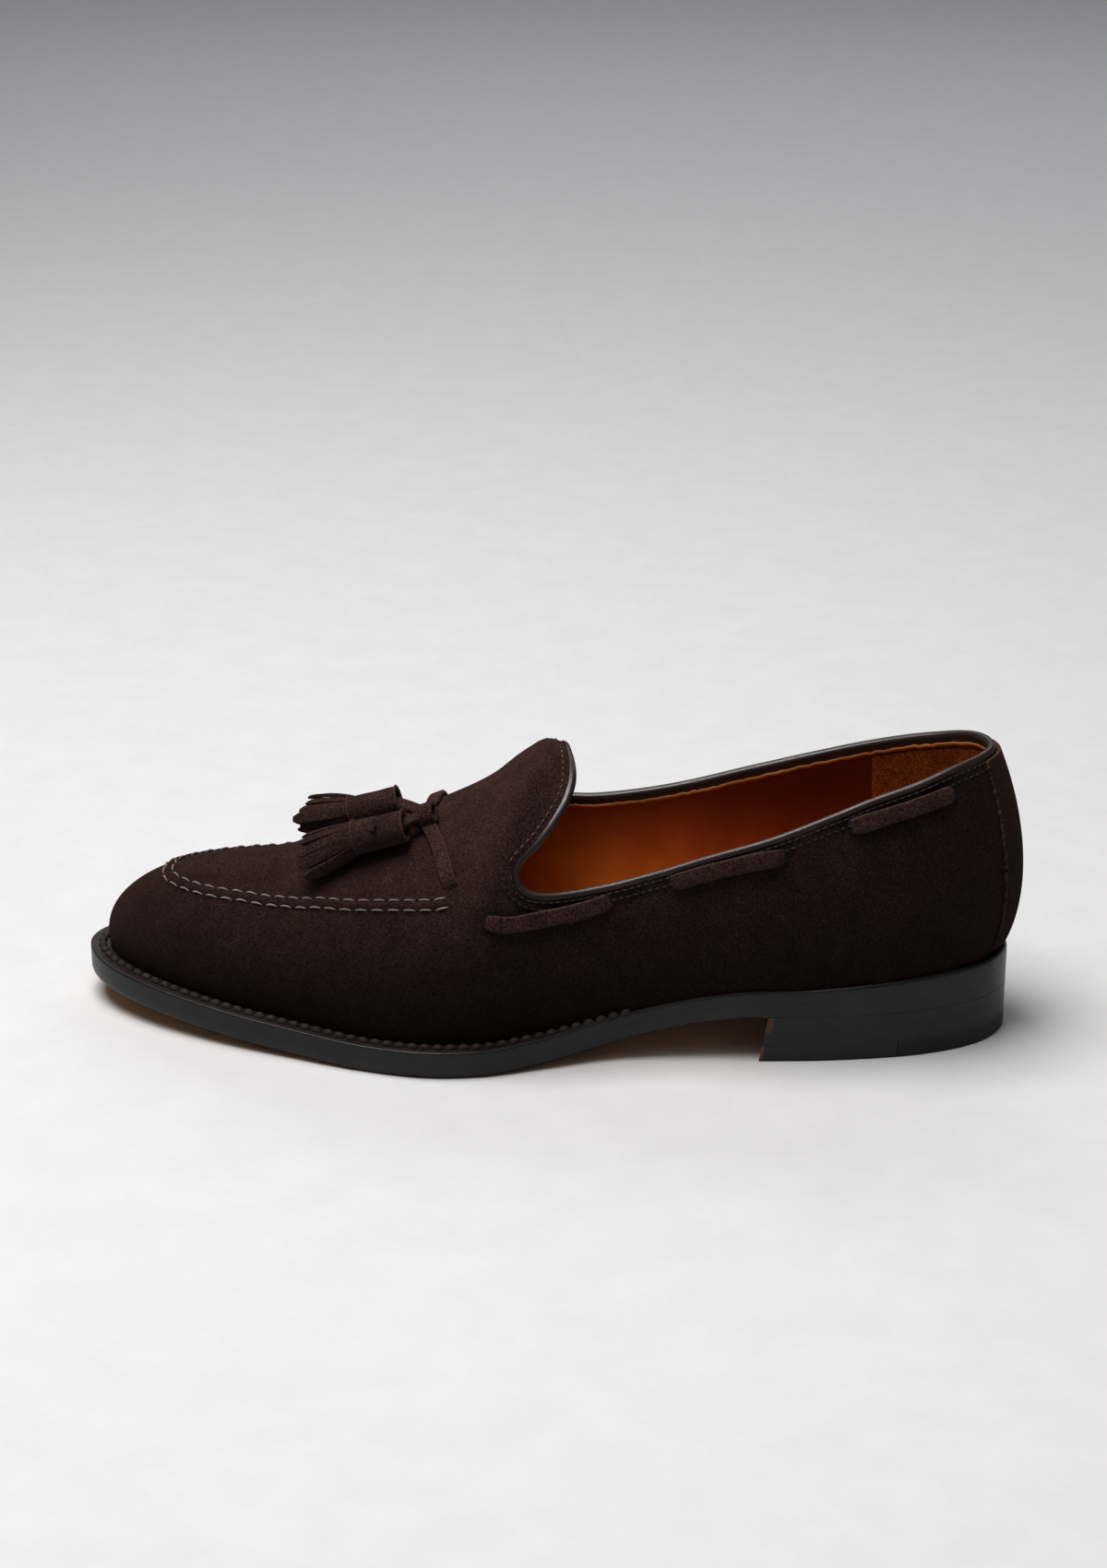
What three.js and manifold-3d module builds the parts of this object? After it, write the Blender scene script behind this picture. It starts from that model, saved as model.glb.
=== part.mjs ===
// A left tassel loafer: suede upper on a welted leather sole with a stacked heel. Millimetres, +Z
// up. The shoe stands on the floor at z = 0 with its toe towards -X and its outer side towards -Y.
// Inside this file a point of the shoe is (along, out, up): along runs forward from the back of the
// sole, out runs from the middle line towards the outer side, and up is the height over the floor.

import * as THREE from "three";
import Module from "manifold-3d";
import { mergeVertices } from "three/addons/utils/BufferGeometryUtils.js";

const wasm = await Module();
wasm.setup();

// Sole and heel
const SOLE_LENGTH = 297;
const BALL_WIDTH = 104;
const HEEL_WIDTH = 69;
const HEEL_HEIGHT = 14.8;
const TOP_LIFT_HEIGHT = 5;
const HEEL_BREAST = 75.8;
const BREAST_UNDERCUT = 2.6;
const BREAST_HOLLOW = 2.5;
const RUBBER_LENGTH = 35;
const TOE_SPRING = 8;
const OUTSOLE_THICKNESS = 5.2;
const EDGE_BEVEL = 0.9;
const WELT_THICKNESS = 3.2;
const WELT_MARGIN = 6.2;
const SEAT_RISE = 3.6;
const INSOLE_PROUD = 1;
const INSOLE_MARGIN = 0.8;

// Upper
const UPPER_WALL = 2.2;
const INSTEP_HEIGHT = 89.5;
const BACK_HEIGHT = 93.7;
const BULGE = 10;
const BINDING_HEIGHT = 2.6;
const BINDING_WIDTH = 3;
const BACK_STRIP_WIDTH = 27;
const BACK_STRIP_THICKNESS = 1;
const APRON_SEAM_WIDTH = 4.8;
const APRON_SEAM_THICKNESS = 1;

// Lace and tassels
const LACE_WIDTH = 5.2;
const LACE_THICKNESS = 2;
const STRAND_SHARE = 0.87;
const KNOT_LENGTH = 7.5;
const KNOT_WIDTH = 8;
const KNOT_HEIGHT = 6;
const TASSEL_WIDTH = 13;
const TASSEL_HEIGHT = 11;
const FRINGE_SPLAY = 1.35;
const FRINGE_START = 0.4;
const STRIP_WIDTH = 2.6;
const STRIP_THICKNESS = 1.3;
const STRIPS = 11;

// Clearance between two pieces that touch on the real shoe
const GAP = 0.3;

// The edge of the sole from above, round from the back of the heel past the outer side to the toe,
// and home past the inner side: along as a share of the sole's length, out as a share of the width
// that the row names.
const SOLE_EDGE = [
  { along: 0, out: 0, of: HEEL_WIDTH },
  { along: 0.0135, out: 0.167, of: HEEL_WIDTH },
  { along: 0.04, out: 0.284, of: HEEL_WIDTH },
  { along: 0.09, out: 0.392, of: HEEL_WIDTH },
  { along: 0.16, out: 0.465, of: HEEL_WIDTH },
  { along: 0.25, out: 0.51, of: HEEL_WIDTH },
  { along: 0.34, out: 0.345, of: BALL_WIDTH },
  { along: 0.42, out: 0.37, of: BALL_WIDTH },
  { along: 0.49, out: 0.44, of: BALL_WIDTH },
  { along: 0.55, out: 0.5, of: BALL_WIDTH },
  { along: 0.61, out: 0.518, of: BALL_WIDTH },
  { along: 0.68, out: 0.481, of: BALL_WIDTH },
  { along: 0.76, out: 0.405, of: BALL_WIDTH },
  { along: 0.84, out: 0.32, of: BALL_WIDTH },
  { along: 0.91, out: 0.22, of: BALL_WIDTH },
  { along: 0.96, out: 0.118, of: BALL_WIDTH },
  { along: 0.985, out: 0.036, of: BALL_WIDTH },
  { along: 0.998, out: -0.045, of: BALL_WIDTH },
  { along: 1, out: -0.11, of: BALL_WIDTH },
  { along: 0.992, out: -0.185, of: BALL_WIDTH },
  { along: 0.97, out: -0.268, of: BALL_WIDTH },
  { along: 0.93, out: -0.352, of: BALL_WIDTH },
  { along: 0.875, out: -0.425, of: BALL_WIDTH },
  { along: 0.81, out: -0.468, of: BALL_WIDTH },
  { along: 0.74, out: -0.484, of: BALL_WIDTH },
  { along: 0.67, out: -0.463, of: BALL_WIDTH },
  { along: 0.59, out: -0.4, of: BALL_WIDTH },
  { along: 0.51, out: -0.308, of: BALL_WIDTH },
  { along: 0.43, out: -0.246, of: BALL_WIDTH },
  { along: 0.35, out: -0.25, of: BALL_WIDTH },
  { along: 0.27, out: -0.455, of: HEEL_WIDTH },
  { along: 0.18, out: -0.487, of: HEEL_WIDTH },
  { along: 0.1, out: -0.418, of: HEEL_WIDTH },
  { along: 0.04, out: -0.284, of: HEEL_WIDTH },
  { along: 0.0135, out: -0.167, of: HEEL_WIDTH },
];

// The underside of the outsole from the side: heel is a share of the heel's height, spring one of
// the toe spring.
const SOLE_LINE = [
  { along: 0, heel: 1.03, spring: 0 },
  { along: 0.12, heel: 1.01, spring: 0 },
  { along: 0.26, heel: 1, spring: 0 },
  { along: 0.32, heel: 0.86, spring: 0 },
  { along: 0.38, heel: 0.61, spring: 0 },
  { along: 0.44, heel: 0.32, spring: 0 },
  { along: 0.5, heel: 0.1, spring: 0 },
  { along: 0.56, heel: 0, spring: 0 },
  { along: 0.66, heel: 0, spring: 0 },
  { along: 0.74, heel: 0, spring: 0.14 },
  { along: 0.82, heel: 0, spring: 0.36 },
  { along: 0.9, heel: 0, spring: 0.64 },
  { along: 1, heel: 0, spring: 1 },
];

// How far the welt stands out past the upper, as a share of its full margin, on each side.
const WELT_LINE = [
  { along: 0, outer: 0.42, inner: 0.42 },
  { along: 0.15, outer: 0.2, inner: 0.2 },
  { along: 0.35, outer: 0.17, inner: 0.13 },
  { along: 0.42, outer: 0.35, inner: 0.2 },
  { along: 0.5, outer: 0.82, inner: 0.55 },
  { along: 0.57, outer: 1, inner: 0.9 },
  { along: 0.65, outer: 1, inner: 1 },
  { along: 1, outer: 1.05, inner: 1.05 },
];

// The ridge of the last: the top of the toe, vamp and instep, and on over the opening as if the
// foot were in it. up is a share of the instep's height, out one of the ball width.
const RIDGE = [
  { along: 0.128, up: 1.41, out: 0 },
  { along: 0.2, up: 1.36, out: 0 },
  { along: 0.3, up: 1.25, out: 0 },
  { along: 0.38, up: 1.12, out: -0.01 },
  { along: 0.43, up: 1.03, out: -0.015 },
  { along: 0.465, up: 0.998, out: -0.02 },
  { along: 0.478, up: 1.012, out: -0.021 },
  { along: 0.492, up: 1.024, out: -0.022 },
  { along: 0.515, up: 0.98, out: -0.025 },
  { along: 0.55, up: 0.882, out: -0.03 },
  { along: 0.59, up: 0.806, out: -0.034 },
  { along: 0.64, up: 0.733, out: -0.038 },
  { along: 0.71, up: 0.66, out: -0.045 },
  { along: 0.745, up: 0.604, out: -0.049 },
  { along: 0.78, up: 0.563, out: -0.052 },
  { along: 0.84, up: 0.538, out: -0.06 },
  { along: 0.9, up: 0.52, out: -0.066 },
];

// The sections of the last, a row for each place on the sole's edge where one stands. ridge is
// where along the shoe the section meets the ridge, wall how high its side wall reaches and crown
// how full its top is, as shares of the section's height and width. outer and inner are the bulge
// of the wall on each side, as shares of BULGE, and lean carries the top of the section towards the
// heel, as a share of the sole's length.
const SECTIONS = [
  { along: 0, ridge: 0.128, wall: 0.33, crown: 0.64, outer: 1.68, inner: 1.68, lean: 0 },
  { along: 0.12, ridge: 0.15, wall: 0.33, crown: 0.48, outer: 1.08, inner: 1.08, lean: 0 },
  { along: 0.25, ridge: 0.24, wall: 0.34, crown: 0.62, outer: 0.7, inner: 0.7, lean: 0 },
  { along: 0.34, ridge: 0.32, wall: 0.36, crown: 0.68, outer: 0.5, inner: 0.9, lean: 0 },
  { along: 0.44, ridge: 0.4, wall: 0.42, crown: 0.68, outer: 0.45, inner: 1, lean: 0.02 },
  { along: 0.555, ridge: 0.47, wall: 0.5, crown: 0.62, outer: 0.45, inner: 0.8, lean: 0.06 },
  { along: 0.62, ridge: 0.565, wall: 0.53, crown: 0.58, outer: 0.5, inner: 0.6, lean: 0.02 },
  { along: 0.7, ridge: 0.665, wall: 0.54, crown: 0.58, outer: 0.5, inner: 0.5, lean: 0 },
  { along: 0.8, ridge: 0.755, wall: 0.53, crown: 0.57, outer: 0.55, inner: 0.55, lean: 0 },
  { along: 0.9, ridge: 0.81, wall: 0.54, crown: 0.6, outer: 0.6, inner: 0.6, lean: 0 },
  { along: 1, ridge: 0.83, wall: 0.57, crown: 0.61, outer: 0.4, inner: 0.4, lean: 0 },
];

// The raised seam round the apron: climb on the upper for each share of the way from the toe to the heel.
const APRON = [
  { share: 0, climb: 0.695 },
  { share: 0.055, climb: 0.65 },
  { share: 0.1, climb: 0.637 },
  { share: 0.15, climb: 0.63 },
  { share: 0.195, climb: 0.623 },
  { share: 0.24, climb: 0.592 },
  { share: 0.28, climb: 0.55 },
  { share: 0.315, climb: 0.52 },
  { share: 0.35, climb: 0.505 },
  { share: 0.405, climb: 0.449 },
];

// Where the lace shows on the quarters, threaded through slits: its two ends, as share towards the
// heel and climb.
const LACE_RUNS = [
  { from: 0.45, fromClimb: 0.33, to: 0.575, toClimb: 0.35 },
  { from: 0.64, fromClimb: 0.36, to: 0.74, toClimb: 0.375 },
  { from: 0.805, fromClimb: 0.425, to: 0.912, toClimb: 0.468 },
];

// The lace's ends on the vamp: it leaves a slit on each side, meets in the knot and carries a
// tassel on each end. lift is the height of a tassel's middle line over the vamp, as a share of the
// tassel's height.
const STRANDS = [
  { side: "outer", slit: 0.409, slitClimb: 0.505, knot: 0.375, knotClimb: 0.79 },
  { side: "inner", slit: 0.392, slitClimb: 0.51, knot: 0.362, knotClimb: 1.085 },
];
const KNOT_PLACE = { side: "outer", share: 0.375, climb: 0.845 };
const TASSELS = [
  { name: "lateral", side: "outer", place: "back", share: 0.364, climb: 0.787, lift: 0.545 },
  { name: "lateral", side: "outer", place: "mouth", share: 0.32, climb: 0.776, lift: 0.59 },
  { name: "lateral", side: "outer", place: "tip", share: 0.268, climb: 0.762, lift: 0.4 },
  { name: "medial", side: "outer", place: "back", share: 0.351, climb: 0.935, lift: 0.655 },
  { name: "medial", side: "outer", place: "mouth", share: 0.306, climb: 0.922, lift: 0.655 },
  { name: "medial", side: "inner", place: "tip", share: 0.252, climb: 0.985, lift: 0.8 },
];

// The upper's edge at the quarters from the side, from the throat's corner to the back, as shares
// of the back's height.
const TOPLINE = [
  { along: 0, outer: 1, inner: 1 },
  { along: 0.024, outer: 1, inner: 1 },
  { along: 0.052, outer: 0.99, inner: 0.982 },
  { along: 0.074, outer: 0.972, inner: 0.962 },
  { along: 0.104, outer: 0.938, inner: 0.938 },
  { along: 0.15, outer: 0.892, inner: 0.898 },
  { along: 0.195, outer: 0.838, inner: 0.858 },
  { along: 0.253, outer: 0.768, inner: 0.811 },
  { along: 0.33, outer: 0.69, inner: 0.755 },
  { along: 0.375, outer: 0.642, inner: 0.727 },
  { along: 0.425, outer: 0.599, inner: 0.702 },
  { along: 0.46, outer: 0.583, inner: 0.688 },
  { along: 0.48, outer: 0.579, inner: 0.686 },
  { along: 0.499, outer: 0.585, inner: 0.693 },
  { along: 0.511, outer: 0.602, inner: 0.713 },
  { along: 0.518, outer: 0.628, inner: 0.739 },
  { along: 0.5205, outer: 0.664, inner: 0.774 },
];

// The free edge of the tongue, from the throat's corner up to the middle line: how far along the
// shoe it stands.
const TONGUE_EDGE = [
  { up: 0, outer: 0.5205, inner: 0.5205 },
  { up: 0.04, outer: 0.519, inner: 0.519 },
  { up: 0.1, outer: 0.512, inner: 0.514 },
  { up: 0.2, outer: 0.4975, inner: 0.503 },
  { up: 0.34, outer: 0.482, inner: 0.4925 },
  { up: 0.5, outer: 0.4705, inner: 0.484 },
  { up: 0.65, outer: 0.467, inner: 0.481 },
  { up: 0.82, outer: 0.469, inner: 0.478 },
  { up: 1, outer: 0.4745, inner: 0.4745 },
];

// A smooth value between the rows of a table, by its column `along` or another named one. It never
// runs past the rows on either side, so a level stretch stays level.
function rowsAt(rows, key, x, by = "along") {
  const last = rows.length - 1;
  if (x <= rows[0][by]) return rows[0][key];
  if (x >= rows[last][by]) return rows[last][key];
  let i = 0;
  while (x > rows[i + 1][by]) i += 1;
  const span = (j) => rows[j + 1][by] - rows[j][by];
  const rise = (j) => (rows[j + 1][key] - rows[j][key]) / span(j);
  const slope = (j) => {
    if (j === 0) return rise(0);
    if (j === last) return rise(last - 1);
    const [before, after] = [rise(j - 1), rise(j)];
    if (before * after <= 0) return 0;
    const [short, long] = [span(j - 1), span(j)];
    const [w0, w1] = [2 * long + short, long + 2 * short];
    return (w0 + w1) / (w0 / before + w1 / after);
  };
  const f = (x - rows[i][by]) / span(i);
  const whole = rise(i) * span(i);
  const near = slope(i) * span(i) - whole;
  const far = whole - slope(i + 1) * span(i);
  return rows[i][key] + f * whole + f * (1 - f) * ((1 - f) * near + f * far);
}

// The x between low and high where a rising or falling function is nought.
function solve(f, low, high) {
  const rising = f(high) > f(low);
  for (let i = 0; i < 40; i += 1) {
    const middle = (low + high) / 2;
    if (f(middle) > 0 === rising) high = middle;
    else low = middle;
  }
  return (low + high) / 2;
}

// The sole's edge as a closed curve: turn is 0 at the back of the heel and grows past the outer side.
const edgeCurve = new THREE.CatmullRomCurve3(
  SOLE_EDGE.map((r) => new THREE.Vector3(r.along * SOLE_LENGTH, r.out * r.of, 0)),
  true,
  "centripetal",
);
edgeCurve.arcLengthDivisions = 2000;
const wrap = (turn) => turn - Math.floor(turn);
const edgeAt = (turn) => edgeCurve.getPointAt(wrap(turn));
const TOE_TURN = (() => {
  const forward = (turn) => edgeAt(turn + 0.0005).x - edgeAt(turn - 0.0005).x;
  return solve(forward, 0.4, 0.6);
})();
const HEEL_TURN = (() => {
  const forward = (turn) => edgeAt(turn + 0.0005).x - edgeAt(turn - 0.0005).x;
  return solve(forward, -0.05, 0.05);
})();

// The outward direction of the sole's edge, seen from above.
function edgeNormal(turn) {
  const step = edgeAt(turn + 0.001).sub(edgeAt(turn - 0.001)).normalize();
  return new THREE.Vector3(-step.y, step.x, 0);
}

// The value at a turn from a table with a column for each side of the shoe.
const sideOf = (turn) => (wrap(turn - HEEL_TURN) < TOE_TURN - HEEL_TURN ? "outer" : "inner");
const sided = (rows, along, turn) => rowsAt(rows, sideOf(turn), along);

// The turn at share 0 at the toe to 1 at the heel on the outer side, and its opposite number on the
// inner side.
function turnAt(side, share) {
  const outer = TOE_TURN + (HEEL_TURN - TOE_TURN) * share;
  if (side === "outer") return outer;
  if (share <= 0) return TOE_TURN;
  if (share >= 1) return HEEL_TURN + 1;
  const along = edgeAt(outer).x;
  return solve((turn) => edgeAt(turn).x - along, TOE_TURN, HEEL_TURN + 1);
}

// Heights of the layers, by the distance along the shoe
const underside = (along) =>
  rowsAt(SOLE_LINE, "heel", along / SOLE_LENGTH) * HEEL_HEIGHT +
  rowsAt(SOLE_LINE, "spring", along / SOLE_LENGTH) * TOE_SPRING;
const outsoleTop = (along) => underside(along) + OUTSOLE_THICKNESS;
const seatRise = (along) => SEAT_RISE * (1 - THREE.MathUtils.smoothstep(along, 0, HEEL_BREAST));
const weltTop = (along) => outsoleTop(along) + GAP + WELT_THICKNESS + seatRise(along);
const featherHeight = (along) => weltTop(along) + GAP;

// The foot of the upper where it meets the welt, carried in from the sole's edge by the welt's
// margin and `more`.
function feather(turn, more = 0) {
  const edge = edgeAt(turn);
  const margin = sided(WELT_LINE, edge.x / SOLE_LENGTH, turn) * WELT_MARGIN;
  return edge.addScaledVector(edgeNormal(turn), -margin - more);
}

const ridgeHeight = (along) => rowsAt(RIDGE, "up", along / SOLE_LENGTH) * INSTEP_HEIGHT;
const ridgeOut = (along) => rowsAt(RIDGE, "out", along / SOLE_LENGTH) * BALL_WIDTH;
const ridgeSlope = (along) => (ridgeHeight(along + 1) - ridgeHeight(along - 1)) / 2;

// A point of the outside of the upper: turn picks the section, and climb goes from 0 at the foot to
// 1 on the ridge.
function lastPoint(turn, climb) {
  const station = edgeAt(turn).x / SOLE_LENGTH;
  const foot = feather(turn);
  foot.z = featherHeight(foot.x);
  const at = rowsAt(SECTIONS, "ridge", station) * SOLE_LENGTH;
  const top = new THREE.Vector3(at, ridgeOut(at), ridgeHeight(at));
  const side = foot.clone();
  side.z += rowsAt(SECTIONS, "wall", station) * (top.z - foot.z);
  side.addScaledVector(edgeNormal(turn), sided(SECTIONS, station, turn) * BULGE);
  const crown = foot.clone().sub(top).multiplyScalar(rowsAt(SECTIONS, "crown", station));
  crown.x -= rowsAt(SECTIONS, "lean", station) * SOLE_LENGTH;
  crown.z = ridgeSlope(at) * crown.x;
  return new THREE.CubicBezierCurve3(foot, side, crown.add(top), top).getPoint(climb);
}

// The outward direction of the upper there.
function lastNormal(turn, climb) {
  if (climb > 0.999) {
    const top = lastPoint(turn, 1);
    return new THREE.Vector3(-ridgeSlope(top.x), 0, 1).normalize();
  }
  const low = Math.max(climb - 0.002, 0);
  const up = lastPoint(turn, climb + 0.002).sub(lastPoint(turn, low));
  const round = lastPoint(turn + 0.001, climb).sub(lastPoint(turn - 0.001, climb));
  return round.cross(up).normalize().negate();
}
const onUpper = (turn, climb, lift) =>
  lastPoint(turn, climb).addScaledVector(lastNormal(turn, climb), lift);

// The throat's corner on a side: the share towards the heel and the climb where the tongue's edge
// meets the topline.
const CORNER = TOPLINE[TOPLINE.length - 1];
function cornerOf(side) {
  const along = CORNER.along * SOLE_LENGTH;
  const shareAt = (climb) =>
    solve((share) => lastPoint(turnAt(side, share), climb).x - along, 0.15, 0.75);
  const height = CORNER[side] * BACK_HEIGHT;
  const climb = solve((c) => lastPoint(turnAt(side, shareAt(c)), c).z - height, 0.1, 0.9);
  return { share: shareAt(climb), climb };
}
const CORNERS = { outer: cornerOf("outer"), inner: cornerOf("inner") };

// How far towards the heel the vamp reaches at a climb: to the tongue's free edge over the corner.
function vampEnd(side, climb) {
  const corner = CORNERS[side];
  if (climb <= corner.climb) return corner.share;
  const up = (climb - corner.climb) / (1 - corner.climb);
  const along = rowsAt(TONGUE_EDGE, side, up, "up") * SOLE_LENGTH;
  return solve((share) => lastPoint(turnAt(side, share), climb).x - along, 0.15, 0.9);
}

// The climb at which the quarter ends.
function quarterEnd(side, turn) {
  const over = (climb) => {
    const point = lastPoint(turn, climb);
    return point.z - rowsAt(TOPLINE, side, point.x / SOLE_LENGTH) * BACK_HEIGHT;
  };
  return solve(over, 0.1, 0.9);
}

// Places a point of the shoe in the frame: toe towards -X, outer side towards -Y.
const place = (p) => new THREE.Vector3(-p.x, -p.y, p.z);

// Collects the faces of one solid, and drops those that have no area.
class Faces {
  constructor() {
    this.values = [];
  }
  triangle(a, b, c) {
    if (a.distanceTo(b) < 1e-3 || b.distanceTo(c) < 1e-3 || a.distanceTo(c) < 1e-3) return;
    for (const p of [a, b, c]) this.values.push(...place(p).toArray());
  }
  quad(a, b, c, d) {
    this.triangle(a, b, c);
    this.triangle(a, c, d);
  }
  // A sheet between rows of points. Turned over, it faces the other way.
  sheet(rows, over = false) {
    for (let i = 0; i + 1 < rows.length; i += 1)
      for (let j = 0; j + 1 < rows[i].length; j += 1) {
        const [a, b, c, d] = [rows[i][j], rows[i + 1][j], rows[i + 1][j + 1], rows[i][j + 1]];
        if (over) this.quad(a, d, c, b);
        else this.quad(a, b, c, d);
      }
  }
  geometry() {
    const made = new THREE.BufferGeometry();
    made.setAttribute("position", new THREE.Float32BufferAttribute(this.values, 3));
    const merged = mergeVertices(made, 1e-4);
    merged.computeVertexNormals();
    return merged;
  }
}

// A solid between two sheets of points with the same rows, closed all round: top faces out, under
// faces in.
function thickSheet(top, under) {
  const faces = new Faces();
  faces.sheet(top);
  faces.sheet(under, true);
  const last = top.length - 1;
  const end = top[0].length - 1;
  for (let i = 0; i < last; i += 1) {
    faces.quad(top[i][0], under[i][0], under[i + 1][0], top[i + 1][0]);
    faces.quad(top[i][end], top[i + 1][end], under[i + 1][end], under[i][end]);
  }
  for (let j = 0; j < end; j += 1) {
    faces.quad(top[0][j], top[0][j + 1], under[0][j + 1], under[0][j]);
    faces.quad(top[last][j], under[last][j], under[last][j + 1], top[last][j + 1]);
  }
  return faces;
}

// The turn on each side at a distance along the shoe.
const turnAlong = (side, along) =>
  side === "outer"
    ? solve((turn) => edgeAt(turn).x - along, HEEL_TURN, TOE_TURN)
    : solve((turn) => edgeAt(turn).x - along, TOE_TURN, HEEL_TURN + 1);

// A flat layer of the sole: pairs of points on the outer and inner edge, joined across, between an
// upper and a lower face. Each ring says how far in from the edge it lies and its height by the
// distance along.
function layer(pairs, rings, across = 2) {
  const rim = (pair, ring) => [
    ring.edge(pair.outer, pair.along),
    ring.edge(pair.inner, pair.along),
  ];
  const row = (pair, ring) => {
    const [outer, inner] = rim(pair, ring);
    return Array.from({ length: across + 1 }, (_, k) => {
      const point = outer.clone().lerp(inner, k / across);
      point.x += (ring.shift ?? 0) * (pair.open ? 1 : 0);
      point.x -= pair.open ? (pair.hollow ?? 0) * (1 - (2 * (k / across) - 1) ** 2) : 0;
      point.z = ring.height(point.x);
      return point;
    });
  };
  const sheets = rings.map((ring) => pairs.map((pair) => row(pair, ring)));
  const faces = new Faces();
  faces.sheet(sheets[sheets.length - 1], true);
  faces.sheet(sheets[0]);
  const last = pairs.length - 1;
  for (let r = 0; r + 1 < sheets.length; r += 1) {
    const [low, high] = [sheets[r], sheets[r + 1]];
    for (let i = 0; i < last; i += 1) {
      faces.quad(low[i][0], high[i][0], high[i + 1][0], low[i + 1][0]);
      faces.quad(low[i][across], low[i + 1][across], high[i + 1][across], high[i][across]);
    }
    for (let k = 0; k < across; k += 1) {
      faces.quad(low[0][k], low[0][k + 1], high[0][k + 1], high[0][k]);
      faces.quad(low[last][k], high[last][k], high[last][k + 1], low[last][k + 1]);
    }
  }
  return faces.geometry();
}

// Pairs of turns from a distance along to another, closer together where the edge curves round heel
// and toe.
function pairsBetween(from, to, count, hollow = 0) {
  return Array.from({ length: count + 1 }, (_, i) => {
    const f = i / count;
    const low = from <= 0 ? 0 : Math.acos(1 - (2 * from) / SOLE_LENGTH) / Math.PI;
    const high = to >= SOLE_LENGTH ? 1 : Math.acos(1 - (2 * to) / SOLE_LENGTH) / Math.PI;
    const along = (SOLE_LENGTH * (1 - Math.cos((low + (high - low) * f) * Math.PI))) / 2;
    if (along <= 1e-9) return { along, outer: HEEL_TURN, inner: HEEL_TURN };
    if (along >= SOLE_LENGTH - 1e-6) return { along, outer: TOE_TURN, inner: TOE_TURN };
    const open = (i === 0 && from > 0) || (i === count && to < SOLE_LENGTH);
    return {
      along,
      outer: turnAlong("outer", along),
      inner: turnAlong("inner", along),
      open: i === count && open,
      hollow,
    };
  });
}

const inset = (distance) => (turn) => edgeAt(turn).addScaledVector(edgeNormal(turn), -distance);

function outsoleGeometry() {
  const bevelled = (along) => underside(along) + EDGE_BEVEL;
  return layer(pairsBetween(0, SOLE_LENGTH, 44), [
    { edge: inset(EDGE_BEVEL * 1.3), height: underside },
    { edge: inset(0), height: bevelled },
    { edge: inset(0), height: outsoleTop },
  ]);
}

// A ring that lies on the outsole under the foot of the upper, between two turns: the welt, or the
// rand of the heel.
function ringGeometry(from, to, steps) {
  const low = (along) => outsoleTop(along) + GAP;
  const section = (turn) => [
    [inset(0)(turn), low],
    [inset(0)(turn), (along) => weltTop(along) - EDGE_BEVEL / 2],
    [inset(EDGE_BEVEL / 2)(turn), weltTop],
    [feather(turn, UPPER_WALL), weltTop],
    [feather(turn, UPPER_WALL), low],
  ];
  const faces = new Faces();
  const rings = Array.from({ length: steps + 1 }, (_, i) => {
    const turn = from + ((to - from) * i) / steps;
    const ring = section(turn).map(([point, height]) => point.setZ(height(point.x)));
    return [...ring, ring[0]];
  });
  faces.sheet(rings, true);
  for (let k = 1; k < 4; k += 1) {
    faces.triangle(rings[0][0], rings[0][k + 1], rings[0][k]);
    faces.triangle(rings[steps][0], rings[steps][k], rings[steps][k + 1]);
  }
  return faces.geometry();
}

function insoleGeometry() {
  const edge = (turn) => feather(turn, UPPER_WALL + INSOLE_MARGIN);
  return layer(pairsBetween(0, SOLE_LENGTH, 36), [
    { edge, height: (along) => outsoleTop(along) + GAP },
    { edge, height: (along) => weltTop(along) + INSOLE_PROUD },
  ]);
}

// A slab of the heel between two heights and two distances along.
const HEEL_COLUMNS = 4;
function heelSlab(from, to, low, high) {
  const undercut = (height) => BREAST_UNDERCUT * (1 - height / HEEL_HEIGHT);
  const atBreast = to >= HEEL_BREAST;
  const shift = (height) => (atBreast ? undercut(height) : 0);
  const lowest = typeof low === "function" ? low(to) : low;
  const highest = typeof high === "function" ? high(to) : high;
  return layer(pairsBetween(from, to, 18, atBreast ? BREAST_HOLLOW : 0), [
    { edge: inset(0), height: () => lowest, shift: shift(lowest) },
    {
      edge: inset(0),
      height: typeof high === "function" ? high : () => high,
      shift: shift(highest),
    },
  ], HEEL_COLUMNS);
}

// The upper: one grid of points round the last, with the opening left out over the quarters.
const VAMP_COLUMNS = 20;
const QUARTER_COLUMNS = 20;
const LOW_ROWS = 8;
const HIGH_ROWS = 9;
const TOE_CLIMB = (CORNERS.outer.climb + CORNERS.inner.climb) / 2;

// The turn and climb of a grid point. Column 0 is the toe, VAMP_COLUMNS the throat's corner and the
// last one the heel.
function gridPoint(side, column, row) {
  const corner = CORNERS[side];
  if (column > VAMP_COLUMNS) {
    const f = (column - VAMP_COLUMNS) / QUARTER_COLUMNS;
    const share = corner.share + (1 - corner.share) * f ** 1.35;
    const turn = turnAt(side, share);
    return { turn, climb: (quarterEnd(side, turn) * row) / LOW_ROWS };
  }
  const f = column / VAMP_COLUMNS;
  const split = TOE_CLIMB + (corner.climb - TOE_CLIMB) * f;
  const climb =
    row <= LOW_ROWS
      ? (split * row) / LOW_ROWS
      : split + (1 - split) * ((row - LOW_ROWS) / HIGH_ROWS) ** 1.3;
  return { turn: turnAt(side, vampEnd(side, climb) * f), climb: Math.min(climb, 1) };
}

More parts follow.
